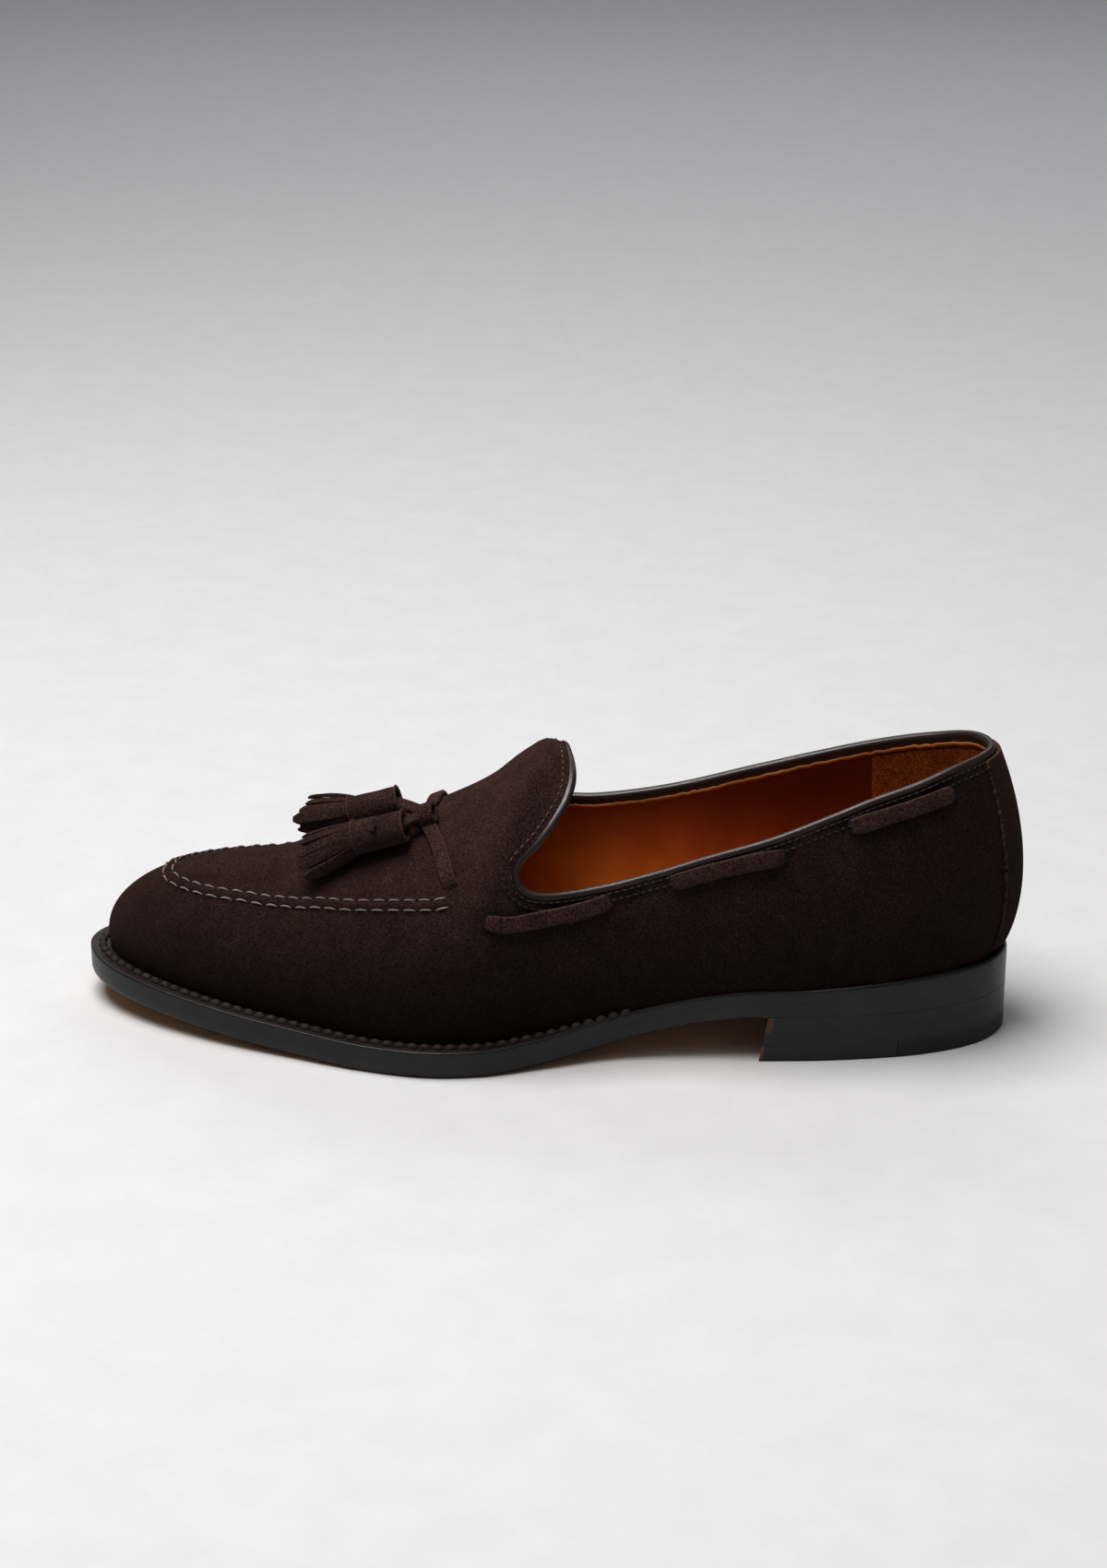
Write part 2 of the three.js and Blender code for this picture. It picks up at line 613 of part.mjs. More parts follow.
function upperGeometry() {
  const faces = new Faces();
  const columns = VAMP_COLUMNS + QUARTER_COLUMNS;
  const rowsOf = (i) => (i > VAMP_COLUMNS ? LOW_ROWS : LOW_ROWS + HIGH_ROWS);
  const grids = {};
  for (const side of ["outer", "inner"]) {
    const skin = [];
    const lining = [];
    for (let i = 0; i <= columns; i += 1) {
      const places = Array.from({ length: rowsOf(i) + 1 }, (_, j) => gridPoint(side, i, j));
      skin.push(places.map((g) => lastPoint(g.turn, g.climb)));
      lining.push(
        places.map((g, j) => {
          const outward = lastNormal(g.turn, g.climb);
          if (j === 0) outward.setZ(0).normalize();
          return lastPoint(g.turn, g.climb).addScaledVector(outward, -UPPER_WALL);
        }),
      );
    }
    grids[side] = { skin, lining };
  }
  // The two sides share their points at the toe, at the heel and on the ridge.
  for (const sheet of ["skin", "lining"]) {
    grids.inner[sheet][0] = grids.outer[sheet][0];
    grids.inner[sheet][columns] = grids.outer[sheet][columns];
    for (let i = 0; i <= VAMP_COLUMNS; i += 1)
      grids.inner[sheet][i][LOW_ROWS + HIGH_ROWS] = grids.outer[sheet][i][LOW_ROWS + HIGH_ROWS];
  }
  for (const side of ["outer", "inner"]) {
    const { skin, lining } = grids[side];
    const over = side === "outer";
    const quad = (a, b, c, d) => (over ? faces.quad(a, d, c, b) : faces.quad(a, b, c, d));
    for (let i = 0; i < columns; i += 1) {
      const rows = i >= VAMP_COLUMNS ? LOW_ROWS : LOW_ROWS + HIGH_ROWS;
      for (let j = 0; j < rows; j += 1) {
        quad(skin[i][j + 1], skin[i + 1][j + 1], skin[i + 1][j], skin[i][j]);
        quad(lining[i + 1][j], lining[i + 1][j + 1], lining[i][j + 1], lining[i][j]);
      }
      quad(skin[i][0], skin[i + 1][0], lining[i + 1][0], lining[i][0]);
      if (i >= VAMP_COLUMNS)
        quad(skin[i][rows], lining[i][rows], lining[i + 1][rows], skin[i + 1][rows]);
    }
    const edge = VAMP_COLUMNS;
    for (let j = LOW_ROWS; j < LOW_ROWS + HIGH_ROWS; j += 1)
      quad(skin[edge][j], skin[edge][j + 1], lining[edge][j + 1], lining[edge][j]);
  }
  return faces.geometry();
}

// A closed body between rings of points: capped at both ends, or joined into a loop.
function tube(rings, closed = false) {
  const faces = new Faces();
  const rows = rings.map((ring) => [...ring, ring[0]]);
  if (closed) rows.push(rows[0]);
  faces.sheet(rows);
  if (!closed)
    for (const [ring, over] of [
      [rings[0], false],
      [rings[rings.length - 1], true],
    ])
      for (let k = 1; k + 1 < ring.length; k += 1)
        if (over) faces.triangle(ring[0], ring[k + 1], ring[k]);
        else faces.triangle(ring[0], ring[k], ring[k + 1]);
  return faces.geometry();
}

// The frame at each point of a path on the upper: the point, the outward direction and the
// direction across.
function framesOf(path, closed = false) {
  const count = path.length;
  return path.map((at, i) => {
    const before = path[closed ? (i + count - 1) % count : Math.max(i - 1, 0)];
    const after = path[closed ? (i + 1) % count : Math.min(i + 1, count - 1)];
    const ahead = after.point.clone().sub(before.point).normalize();
    const out = at.out.clone().addScaledVector(ahead, -at.out.dot(ahead)).normalize();
    return { point: at.point, out, across: new THREE.Vector3().crossVectors(out, ahead) };
  });
}
const pathPoint = (turn, climb, more = {}) => ({
  point: lastPoint(turn, climb),
  out: lastNormal(turn, climb),
  ...more,
});

// The bead of the binding in section: up from the rim, across it.
const BEAD_SECTION = [
  { across: -0.5, up: 0.12 },
  { across: -0.4, up: 0 },
  { across: 0.4, up: 0 },
  { across: 0.5, up: 0.12 },
  { across: 0.5, up: 0.6 },
  { across: 0.26, up: 0.97 },
  { across: -0.26, up: 0.97 },
  { across: -0.5, up: 0.6 },
];
const RIM_OUTWARD = 1;

// The cap of a tassel from its back to its mouth, as shares of its length and girth.
const CAP_SHAPE = [
  { along: 0, size: 0.74 },
  { along: 0.08, size: 0.9 },
  { along: 0.5, size: 0.95 },
  { along: 0.92, size: 1 },
  { along: 1, size: 0.95 },
];

// The section of a strap that lies flat on its underside and is rounded on top, as shares of its
// width and thickness.
const STRAP_SECTION = [
  { across: -0.5, up: 0.12 },
  { across: -0.42, up: 0 },
  { across: 0.42, up: 0 },
  { across: 0.5, up: 0.12 },
  { across: 0.46, up: 0.66 },
  { across: 0.24, up: 1 },
  { across: -0.24, up: 1 },
  { across: -0.46, up: 0.66 },
];

// A strap along a path on the upper, its ends rounded off over a length of `round`.
function strap(path, width, thickness, round = 0, lift = GAP) {
  const frames = framesOf(path);
  const run = [0];
  for (let i = 1; i < path.length; i += 1)
    run.push(run[i - 1] + path[i].point.distanceTo(path[i - 1].point));
  const length = run[run.length - 1];
  const rings = frames.map((frame, i) => {
    const toEnd = Math.min(run[i], length - run[i]);
    const full = round > 0 && toEnd < round ? Math.sqrt(1 - (1 - toEnd / round) ** 2) : 1;
    const size = 0.35 + 0.65 * full;
    return STRAP_SECTION.map((s) =>
      frame.point
        .clone()
        .addScaledVector(frame.across, s.across * width * size)
        .addScaledVector(frame.out, lift + s.up * thickness * size),
    );
  });
  return tube(rings.map((ring) => ring.slice().reverse()));
}

// Evenly spread values from one to another, closer together at both ends when `ends` is set.
const spread = (from, to, count, ends = false) =>
  Array.from({ length: count + 1 }, (_, i) => {
    const f = ends ? (1 - Math.cos((Math.PI * i) / count)) / 2 : i / count;
    return from + (to - from) * f;
  });

// The raised seam of the apron, from the outer side round the toe to the inner side.
function apronSeamGeometry() {
  const last = APRON[APRON.length - 1].share;
  const path = spread(-last, last, 44).map((share) => {
    const side = share < 0 ? "outer" : "inner";
    const turn = turnAt(side, Math.abs(share));
    return pathPoint(turn, rowsAt(APRON, "climb", Math.abs(share), "share"));
  });
  return strap(path, APRON_SEAM_WIDTH, APRON_SEAM_THICKNESS, APRON_SEAM_WIDTH / 2);
}

// One run of the lace on a quarter.
function laceGeometry(side, run) {
  const path = spread(0, 1, 10, true).map((f) => {
    const share = run.from + (run.to - run.from) * f;
    return pathPoint(turnAt(side, share), run.fromClimb + (run.toClimb - run.fromClimb) * f);
  });
  return strap(path, LACE_WIDTH, LACE_THICKNESS, LACE_WIDTH / 2);
}

// A climb past 1 goes over the ridge and down the other side.
const OTHER = { outer: "inner", inner: "outer" };
function overRidge(side, share, climb, more) {
  if (climb <= 1) return pathPoint(turnAt(side, share), climb, more);
  return pathPoint(turnAt(OTHER[side], share), 2 - climb, more);
}

// The lace from the slit on a side of the vamp up to the knot.
function strandGeometry(side) {
  const row = STRANDS.find((r) => r.side === side);
  const path = spread(0, 1, 8, true).map((f) => {
    const share = row.slit + (row.knot - row.slit) * f;
    return overRidge(side, share, row.slitClimb + (row.knotClimb - row.slitClimb) * f);
  });
  const [width, thickness] = [LACE_WIDTH * STRAND_SHARE, LACE_THICKNESS * STRAND_SHARE];
  return strap(path, width, thickness, LACE_WIDTH / 2, GAP * 1.5);
}

// The strip over the back seam.
function backStripGeometry() {
  const half = BACK_STRIP_WIDTH / 2 / edgeCurve.getLength();
  const skin = (lift) =>
    spread(half, -half, 6).map((offset) => {
      const turn = HEEL_TURN + offset;
      const end = quarterEnd(offset < 0 ? "inner" : "outer", turn);
      return spread(0.03, end - 0.006, 8).map((climb) => onUpper(turn, climb, lift));
    });
  return thickSheet(skin(GAP + BACK_STRIP_THICKNESS), skin(GAP)).geometry();
}

// The rim of the upper as a loop: round the quarters, up one side of the tongue and down the other.
// It goes through the points of the upper's own grid, so that what sits on the rim follows it.
function rimPath() {
  const at = (side, column, row) => {
    const { turn, climb } = gridPoint(side, column, row);
    return pathPoint(turn, climb);
  };
  const tongue = (side) =>
    spread(LOW_ROWS, LOW_ROWS + HIGH_ROWS, HIGH_ROWS).map((row) => at(side, VAMP_COLUMNS, row));
  const quarter = (side) =>
    spread(1, QUARTER_COLUMNS, QUARTER_COLUMNS - 1).map((i) => at(side, VAMP_COLUMNS + i, LOW_ROWS));
  return [
    ...quarter("outer"),
    ...quarter("inner").slice(0, -1).reverse(),
    ...tongue("inner"),
    ...tongue("outer").reverse().slice(1),
  ];
}

// The binding: a bead that sits on the rim and is a little wider than the wall.
function bindingGeometry() {
  const frames = framesOf(rimPath(), true);
  const rings = frames.map((frame) =>
    BEAD_SECTION.map((s) =>
      frame.point
        .clone()
        .addScaledVector(frame.out, s.across * BINDING_WIDTH - UPPER_WALL / 2)
        .addScaledVector(frame.across, (GAP + s.up * BINDING_HEIGHT) * RIM_OUTWARD),
    ),
  );
  return tube(rings, true);
}

// A straight local frame from one point to another, its third axis near a given outward direction.
function localFrame(from, to, out) {
  const ahead = to.clone().sub(from).normalize();
  const across = new THREE.Vector3().crossVectors(out, ahead).normalize();
  const up = new THREE.Vector3().crossVectors(ahead, across);
  const length = from.distanceTo(to);
  const at = (x, y, z) =>
    from.clone().addScaledVector(ahead, x).addScaledVector(across, y).addScaledVector(up, z);
  return { at, length };
}

// An oval ring in a local frame.
const oval = (frame, x, width, height, count) =>
  Array.from({ length: count }, (_, k) => {
    const angle = (2 * Math.PI * k) / count;
    return frame.at(x, (Math.cos(angle) * width) / 2, (-Math.sin(angle) * height) / 2);
  });

function knotCentre() {
  const { side, share, climb } = KNOT_PLACE;
  const at = pathPoint(turnAt(side, share), climb);
  return { point: at.point.addScaledVector(at.out, GAP + KNOT_HEIGHT * 0.62), out: at.out };
}

// The knot: a rounded lump that lies across the vamp.
function knotGeometry() {
  const { point, out } = knotCentre();
  const ahead = new THREE.Vector3(1, 0, 0);
  const start = point.clone().addScaledVector(ahead, -KNOT_LENGTH / 2);
  const frame = localFrame(start, point.clone().addScaledVector(ahead, KNOT_LENGTH / 2), out);
  const rings = spread(0, 1, 8).map((f) => {
    const size = Math.max(Math.sqrt(1 - (2 * f - 1) ** 2), 0.12) ** 0.8;
    return oval(frame, f * KNOT_LENGTH, KNOT_WIDTH * size, KNOT_HEIGHT * size, 12);
  });
  return tube(rings);
}

// The three places of a tassel on the middle line of its body, and the outward direction there.
function tasselPlaces(name) {
  const places = {};
  for (const row of TASSELS.filter((t) => t.name === name)) {
    const at = pathPoint(turnAt(row.side, row.share), row.climb);
    places[row.place] = at.point.addScaledVector(at.out, row.lift * TASSEL_HEIGHT + GAP);
    places.out = places.out ?? at.out;
  }
  return places;
}

// The rolled cap of a tassel.
function capGeometry(name) {
  const { back, mouth, out } = tasselPlaces(name);
  const frame = localFrame(back, mouth, out);
  const rings = CAP_SHAPE.map((row) =>
    oval(frame, row.along * frame.length, TASSEL_WIDTH * row.size, TASSEL_HEIGHT * row.size, 16),
  );
  return tube(rings);
}

// The fringe: a core with its strips fused on. It starts level with the cap's mouth and bends from there
// to its own tip.
function fringeGeometry(name) {
  const { back, mouth, tip, out } = tasselPlaces(name);
  const cap = localFrame(back, mouth, out);
  const frame = localFrame(mouth, tip, out);
  const root = (y, z) => cap.at(cap.length + FRINGE_START, y, z);
  const list = (points) => points.map((p) => place(p).toArray());
  const ring = (at, width, height) =>
    spread(0, 2 * Math.PI, 12).map((a) => at((Math.cos(a) * width) / 2, (Math.sin(a) * height) / 2));
  const core = [
    ...ring(root, TASSEL_WIDTH * 0.8, TASSEL_HEIGHT * 0.8),
    ...ring((y, z) => frame.at(frame.length * 0.8, y, z), TASSEL_WIDTH * 0.9, TASSEL_HEIGHT * 0.55),
  ];
  let body = wasm.Manifold.hull(list(core));
  for (let k = 0; k < STRIPS; k += 1) {
    const angle = (2 * Math.PI * k) / STRIPS + 0.2;
    const reach = frame.length * (1 - 0.1 * ((k * 5) % 4) / 3);
    const corners = [];
    for (const [at, width, height] of [
      [root, TASSEL_WIDTH * 0.8, TASSEL_HEIGHT * 0.8],
      [(y, z) => frame.at(reach, y, z), TASSEL_WIDTH * FRINGE_SPLAY, TASSEL_HEIGHT * 0.72],
    ]) {
      const y = (Math.cos(angle) * width) / 2;
      const z = (Math.sin(angle) * height) / 2;
      const round = new THREE.Vector2(-Math.sin(angle) * width, Math.cos(angle) * height);
      round.normalize().multiplyScalar(STRIP_WIDTH / 2);
      const deep = new THREE.Vector2(round.y, -round.x).normalize().multiplyScalar(STRIP_THICKNESS);
      for (const [i, j] of [
        [-1, 0],
        [1, 0],
        [-1, -1],
        [1, -1],
      ])
        corners.push(at(y + i * round.x + j * deep.x, z + i * round.y + j * deep.y));
    }
    body = body.add(wasm.Manifold.hull(list(corners)));
  }
  return fromManifold(body);
}

// The lace between the knot and a tassel's cap.
function stemGeometry(name) {
  const { back, mouth, out } = tasselPlaces(name);
  const knot = knotCentre().point;
  const inward = mouth.clone().sub(back).normalize();
  const end = back.clone().addScaledVector(inward, -LACE_WIDTH * 0.32);
  const ahead = end.clone().sub(knot).normalize();
  const start = knot.clone().addScaledVector(ahead, KNOT_LENGTH / 2 + GAP);
  const frame = localFrame(start, end, out);
  const [width, height] = [LACE_WIDTH * 0.75, LACE_THICKNESS * 1.3];
  return tube(spread(0, 1, 2).map((f) => oval(frame, f * frame.length, width, height, 8)));
}

// A geometry from a manifold-3d solid.
function fromManifold(solid) {
  const mesh = solid.getMesh();
  const points = [];
  for (const v of mesh.triVerts) {
    const at = v * mesh.numProp;
    points.push(...mesh.vertProperties.slice(at, at + 3));
  }
  const made = new THREE.BufferGeometry();
  made.setAttribute("position", new THREE.Float32BufferAttribute(points, 3));
  return mergeVertices(made, 1e-4);
}

const shoe = new THREE.Group();
function add(name, geometry, colour, roughness) {
  const material = new THREE.MeshStandardMaterial({ color: colour, roughness, metalness: 0 });
  const mesh = new THREE.Mesh(geometry, material);
  mesh.name = name;
  shoe.add(mesh);
}

const OUTER_BREAST_TURN = turnAlong("outer", HEEL_BREAST);
const INNER_BREAST_TURN = turnAlong("inner", HEEL_BREAST);
const JOINT_TURN = GAP / 2 / edgeCurve.getLength();

add("outsole", outsoleGeometry(), 0x1a1817, 0.45);
const WELT_ENDS = [OUTER_BREAST_TURN + JOINT_TURN, INNER_BREAST_TURN - JOINT_TURN];
const RAND_ENDS = [INNER_BREAST_TURN + JOINT_TURN, OUTER_BREAST_TURN + 1 - JOINT_TURN];
add("welt", ringGeometry(...WELT_ENDS, 76), 0x2a211d, 0.6);
add("heel_rand", ringGeometry(...RAND_ENDS, 30), 0x161514, 0.45);
add("insole", insoleGeometry(), 0xb5682c, 0.6);
const liftsTop = (along) => underside(along) - GAP;
add("heel_lifts", heelSlab(0, HEEL_BREAST, TOP_LIFT_HEIGHT + GAP, liftsTop), 0x171615, 0.45);
add("top_lift", heelSlab(RUBBER_LENGTH + GAP, HEEL_BREAST, 0, TOP_LIFT_HEIGHT), 0x171615, 0.5);
add("top_lift_rubber", heelSlab(0, RUBBER_LENGTH, 0, TOP_LIFT_HEIGHT), 0x141414, 0.7);
add("upper", upperGeometry(), 0x3a2b25, 0.95);

add("topline_binding", bindingGeometry(), 0x3b2b26, 0.4);
add("back_strip", backStripGeometry(), 0x3a2b25, 0.95);
add("apron_seam", apronSeamGeometry(), 0x3a2b25, 0.95);
for (const [side, name] of [
  ["outer", "lateral"],
  ["inner", "medial"],
]) {
  LACE_RUNS.forEach((run, i) => add(`lace_${name}_${i + 1}`, laceGeometry(side, run), 0x382a24, 0.9));
  add(`strand_${name}`, strandGeometry(side), 0x382a24, 0.9);
  add(`stem_${name}`, stemGeometry(name), 0x382a24, 0.9);
  add(`tassel_cap_${name}`, capGeometry(name), 0x382a24, 0.95);
  add(`tassel_fringe_${name}`, fringeGeometry(name), 0x382a24, 0.95);
}
add("knot", knotGeometry(), 0x382a24, 0.9);

// Centre the shoe over the origin.
const box = new THREE.Box3().setFromObject(shoe);
const centre = box.getCenter(new THREE.Vector3());
shoe.position.set(-centre.x, -centre.y, -box.min.z);
const root = new THREE.Group();
root.add(shoe);

export default root;
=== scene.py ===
# A left tassel loafer in dark brown suede, dressed over its imported solids.
# The file is a lesson in cells: each code cell makes one piece or one finish of the shoe.

# %% [markdown]
# ## The frame
# The shoe's solids come in as a fixed frame: sole, welt, heel, upper, laces and tassels, each in its
# place. Everything that is modelled here is laid on them, in metres, with the toe towards -X, the outer
# side towards -Y and the floor at z = 0. The box of the solids is kept.

import math

import bpy
import numpy as np
from mathutils import Matrix, Vector


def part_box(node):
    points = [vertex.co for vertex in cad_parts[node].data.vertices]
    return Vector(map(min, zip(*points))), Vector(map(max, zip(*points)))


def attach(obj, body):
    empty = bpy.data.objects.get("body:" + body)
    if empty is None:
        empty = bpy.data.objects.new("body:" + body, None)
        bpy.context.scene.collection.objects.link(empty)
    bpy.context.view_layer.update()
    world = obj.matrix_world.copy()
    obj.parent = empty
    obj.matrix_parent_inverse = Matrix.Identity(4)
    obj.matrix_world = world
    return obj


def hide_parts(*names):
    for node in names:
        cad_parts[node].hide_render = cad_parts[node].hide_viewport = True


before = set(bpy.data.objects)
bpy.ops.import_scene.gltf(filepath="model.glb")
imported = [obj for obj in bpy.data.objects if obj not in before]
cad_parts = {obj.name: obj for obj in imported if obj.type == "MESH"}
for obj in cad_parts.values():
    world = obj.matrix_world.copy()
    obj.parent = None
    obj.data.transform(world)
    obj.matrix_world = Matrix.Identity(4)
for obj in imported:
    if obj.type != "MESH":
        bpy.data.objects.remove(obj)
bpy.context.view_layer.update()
MM = 0.001
print("solids:", sorted(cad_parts))

# %% [markdown]
# ## The camera
# The photograph was taken from a little above the shoe, straight at its outer side. The camera is placed
# from the shoe's own lines: it stands about a metre away, looks down by 21 degrees and is turned by 3
# degrees. A long lens keeps the heel and the toe in proportion. Its frame is upright, so the sensor's
# long side is vertical.

# %% Camera
LOOK_DOWN = math.radians(20.91)
LENS, SENSOR = 72.0, 36.0
TURNED = math.radians(-3.44)
DISTANCE = 990.0
AIM = (3.7, 0.0, 77.7)
SOLE_LENGTH = 297.0
sole_low, sole_high = (np.array(corner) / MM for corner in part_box("outsole"))
SHIFT_X = sole_high[0]


def camera_frame():
    """The camera's place and its three directions, before the shoe's turn is taken out."""
    ahead = np.array([0.0, math.cos(LOOK_DOWN), -math.sin(LOOK_DOWN)])
    up = np.array([0.0, math.sin(LOOK_DOWN), math.cos(LOOK_DOWN)])
    right = np.array([1.0, 0.0, 0.0])
    return np.array(AIM) - DISTANCE * ahead, right, up, ahead


bpy.ops.object.select_all(action="DESELECT")
bpy.ops.object.camera_add()
camera = bpy.context.object
camera.name = "camera"
camera.data.sensor_fit = "VERTICAL"
camera.data.sensor_height = SENSOR
camera.data.lens = LENS
camera.data.clip_end = 20.0
bpy.context.scene.camera = camera

# %% [markdown]
# ## The last
# A shoe is made over a last, a wooden foot, and everything on the upper follows its surface. So the last
# is written down once, as a function of two numbers: turn goes round the edge of the sole and climb goes
# from the welt up to the ridge on top. Leather, seams, stitches and laces are then all laid on this one
# surface. The tables hold the shoe's lines: the edge of the sole, the height of the sole, the ridge of
# the instep, and the fullness of the sections. Lengths here are in millimetres: along the shoe from the
# heel, out towards the outer side, and up.

# %% The last: sizes and tables
BALL_WIDTH = 104.0
HEEL_WIDTH = 69.0
HEEL_HEIGHT = 14.8
TOE_SPRING = 8.0
OUTSOLE_THICKNESS = 5.2
WELT_THICKNESS = 3.2
WELT_MARGIN = 6.2
SEAT_RISE = 3.6
HEEL_BREAST = 75.8
GAP = 0.3
UPPER_WALL = 2.2
INSTEP_HEIGHT = 89.5
BACK_HEIGHT = 93.7
BULGE = 10.0


def table(columns, *rows):
    """A small table with named columns."""
    return {name: np.array([row[i] for row in rows]) for i, name in enumerate(columns)}


HEEL_EDGE_BACK = [(0, 0), (0.0135, 0.167), (0.04, 0.284), (0.09, 0.392), (0.16, 0.465), (0.25, 0.51)]
OUTER_EDGE = [
    (0.34, 0.345), (0.42, 0.37), (0.49, 0.44), (0.55, 0.5), (0.61, 0.518), (0.68, 0.481), (0.76, 0.405),
    (0.84, 0.32), (0.91, 0.22), (0.96, 0.118), (0.985, 0.036), (0.998, -0.045), (1, -0.11),
]
INNER_EDGE = [
    (0.992, -0.185), (0.97, -0.268), (0.93, -0.352), (0.875, -0.425), (0.81, -0.468), (0.74, -0.484),
    (0.67, -0.463), (0.59, -0.4), (0.51, -0.308), (0.43, -0.246), (0.35, -0.25),
]
HEEL_EDGE_INNER = [(0.27, -0.455), (0.18, -0.487), (0.1, -0.418), (0.04, -0.284), (0.0135, -0.167)]
SOLE_EDGE = np.array(
    [(a * SOLE_LENGTH, o * HEEL_WIDTH) for a, o in HEEL_EDGE_BACK]
    + [(a * SOLE_LENGTH, o * BALL_WIDTH) for a, o in OUTER_EDGE + INNER_EDGE]
    + [(a * SOLE_LENGTH, o * HEEL_WIDTH) for a, o in HEEL_EDGE_INNER]
)
SOLE_LINE = table(
    ("along", "heel", "spring"),
    (0, 1.03, 0), (0.12, 1.01, 0), (0.26, 1, 0), (0.32, 0.86, 0), (0.38, 0.61, 0), (0.44, 0.32, 0),
    (0.5, 0.1, 0), (0.56, 0, 0), (0.66, 0, 0), (0.74, 0, 0.14), (0.82, 0, 0.36), (0.9, 0, 0.64), (1, 0, 1),
)
WELT_LINE = table(
    ("along", "outer", "inner"),
    (0, 0.42, 0.42), (0.15, 0.2, 0.2), (0.35, 0.17, 0.13), (0.42, 0.35, 0.2), (0.5, 0.82, 0.55),
    (0.57, 1, 0.9), (0.65, 1, 1), (1, 1.05, 1.05),
)
RIDGE = table(
    ("along", "up", "out"),
    (0.128, 1.41, 0), (0.2, 1.36, 0), (0.3, 1.25, 0), (0.38, 1.12, -0.01), (0.43, 1.03, -0.015),
    (0.465, 0.998, -0.02), (0.478, 1.012, -0.021), (0.492, 1.024, -0.022), (0.515, 0.98, -0.025),
    (0.55, 0.882, -0.03), (0.59, 0.806, -0.034), (0.64, 0.733, -0.038), (0.71, 0.66, -0.045),
    (0.745, 0.604, -0.049), (0.78, 0.563, -0.052), (0.84, 0.538, -0.06), (0.9, 0.52, -0.066),
)
SECTIONS = table(
    ("along", "ridge", "wall", "crown", "outer", "inner", "lean"),
    (0, 0.128, 0.33, 0.64, 1.68, 1.68, 0), (0.12, 0.15, 0.33, 0.48, 1.08, 1.08, 0),
    (0.25, 0.24, 0.34, 0.62, 0.7, 0.7, 0), (0.34, 0.32, 0.36, 0.68, 0.5, 0.9, 0),
    (0.44, 0.4, 0.42, 0.68, 0.45, 1, 0.02), (0.555, 0.47, 0.5, 0.62, 0.45, 0.8, 0.06),
    (0.62, 0.565, 0.53, 0.58, 0.5, 0.6, 0.02), (0.7, 0.665, 0.54, 0.58, 0.5, 0.5, 0),
    (0.8, 0.755, 0.53, 0.57, 0.55, 0.55, 0), (0.9, 0.81, 0.54, 0.6, 0.6, 0.6, 0),
    (1, 0.83, 0.57, 0.61, 0.4, 0.4, 0),
)
TOPLINE = table(
    ("along", "outer", "inner"),
    (0, 1, 1), (0.024, 1, 1), (0.052, 0.99, 0.982), (0.074, 0.972, 0.962), (0.104, 0.938, 0.938),
    (0.15, 0.892, 0.898), (0.195, 0.838, 0.858), (0.253, 0.768, 0.811), (0.33, 0.69, 0.755),
    (0.375, 0.642, 0.727), (0.425, 0.599, 0.702), (0.46, 0.583, 0.688), (0.48, 0.579, 0.686),
    (0.499, 0.585, 0.693), (0.511, 0.602, 0.713), (0.518, 0.628, 0.739), (0.5205, 0.664, 0.774),
)
TONGUE_EDGE = table(
    ("up", "outer", "inner"),
    (0, 0.5205, 0.5205), (0.04, 0.519, 0.519), (0.1, 0.512, 0.514), (0.2, 0.4975, 0.503),
    (0.34, 0.482, 0.4925), (0.5, 0.4705, 0.484), (0.65, 0.467, 0.481), (0.82, 0.469, 0.478),
    (1, 0.4745, 0.4745),
)
APRON = table(
    ("share", "climb"),
    (0, 0.695), (0.055, 0.65), (0.1, 0.637), (0.15, 0.63), (0.195, 0.623), (0.24, 0.592), (0.28, 0.55),
    (0.315, 0.52), (0.35, 0.505), (0.405, 0.449),
)

# %% [markdown]
# ## The last as a function
# Between the rows of a table the values run smoothly and never past the rows. The edge of the sole is a
# closed curve through its points. A section of the last is a curve with four handles: the foot on the
# welt, the side wall, the crown and the ridge. All of it takes whole lists of points at once, which keeps
# the script quick.


# %% The last: functions
def rows_at(rows, key, x, by="along"):
    """Smooth values between the rows of a table, which never run past them."""
    xs, ys = rows[by].astype(float), rows[key].astype(float)
    span, whole = np.diff(xs), np.diff(ys)
    rise = whole / span
    slope = np.empty(len(xs))
    slope[0], slope[-1] = rise[0], rise[-1]
    for j in range(1, len(xs) - 1):
        before, after = rise[j - 1], rise[j]
        short, long = span[j - 1], span[j]
        w0, w1 = 2 * long + short, long + 2 * short
        slope[j] = 0 if before * after <= 0 else (w0 + w1) / (w0 / before + w1 / after)
    x = np.clip(np.asarray(x, float), xs[0], xs[-1])
    i = np.clip(np.searchsorted(xs, x, side="right") - 1, 0, len(span) - 1)
    f = (x - xs[i]) / span[i]
    near = slope[i] * span[i] - whole[i]
    far = whole[i] - slope[i + 1] * span[i]
    return ys[i] + f * whole[i] + f * (1 - f) * ((1 - f) * near + f * far)


def closed_curve(points, steps=400):
    """A closed curve through points, as many short straight pieces."""
    laid = []
    for i in range(len(points)):
        p0, p1, p2, p3 = (points[(i + k) % len(points)] for k in (-1, 0, 1, 2))
        d0, d1, d2 = (math.sqrt(np.linalg.norm(b - a)) for a, b in ((p0, p1), (p1, p2), (p2, p3)))
        t1 = ((p1 - p0) / d0 - (p2 - p0) / (d0 + d1) + (p2 - p1) / d1) * d1
        t2 = ((p2 - p1) / d1 - (p3 - p1) / (d1 + d2) + (p3 - p2) / d2) * d1
        f = np.linspace(0, 1, steps, endpoint=False)[:, None]
        laid.append(
            p1 + t1 * f + (3 * (p2 - p1) - 2 * t1 - t2) * f**2 + (2 * (p1 - p2) + t1 + t2) * f**3
        )
    laid = np.concatenate(laid + [laid[0][:1]])
    run = np.concatenate([[0], np.cumsum(np.linalg.norm(np.diff(laid, axis=0), axis=1))])
    return laid, run


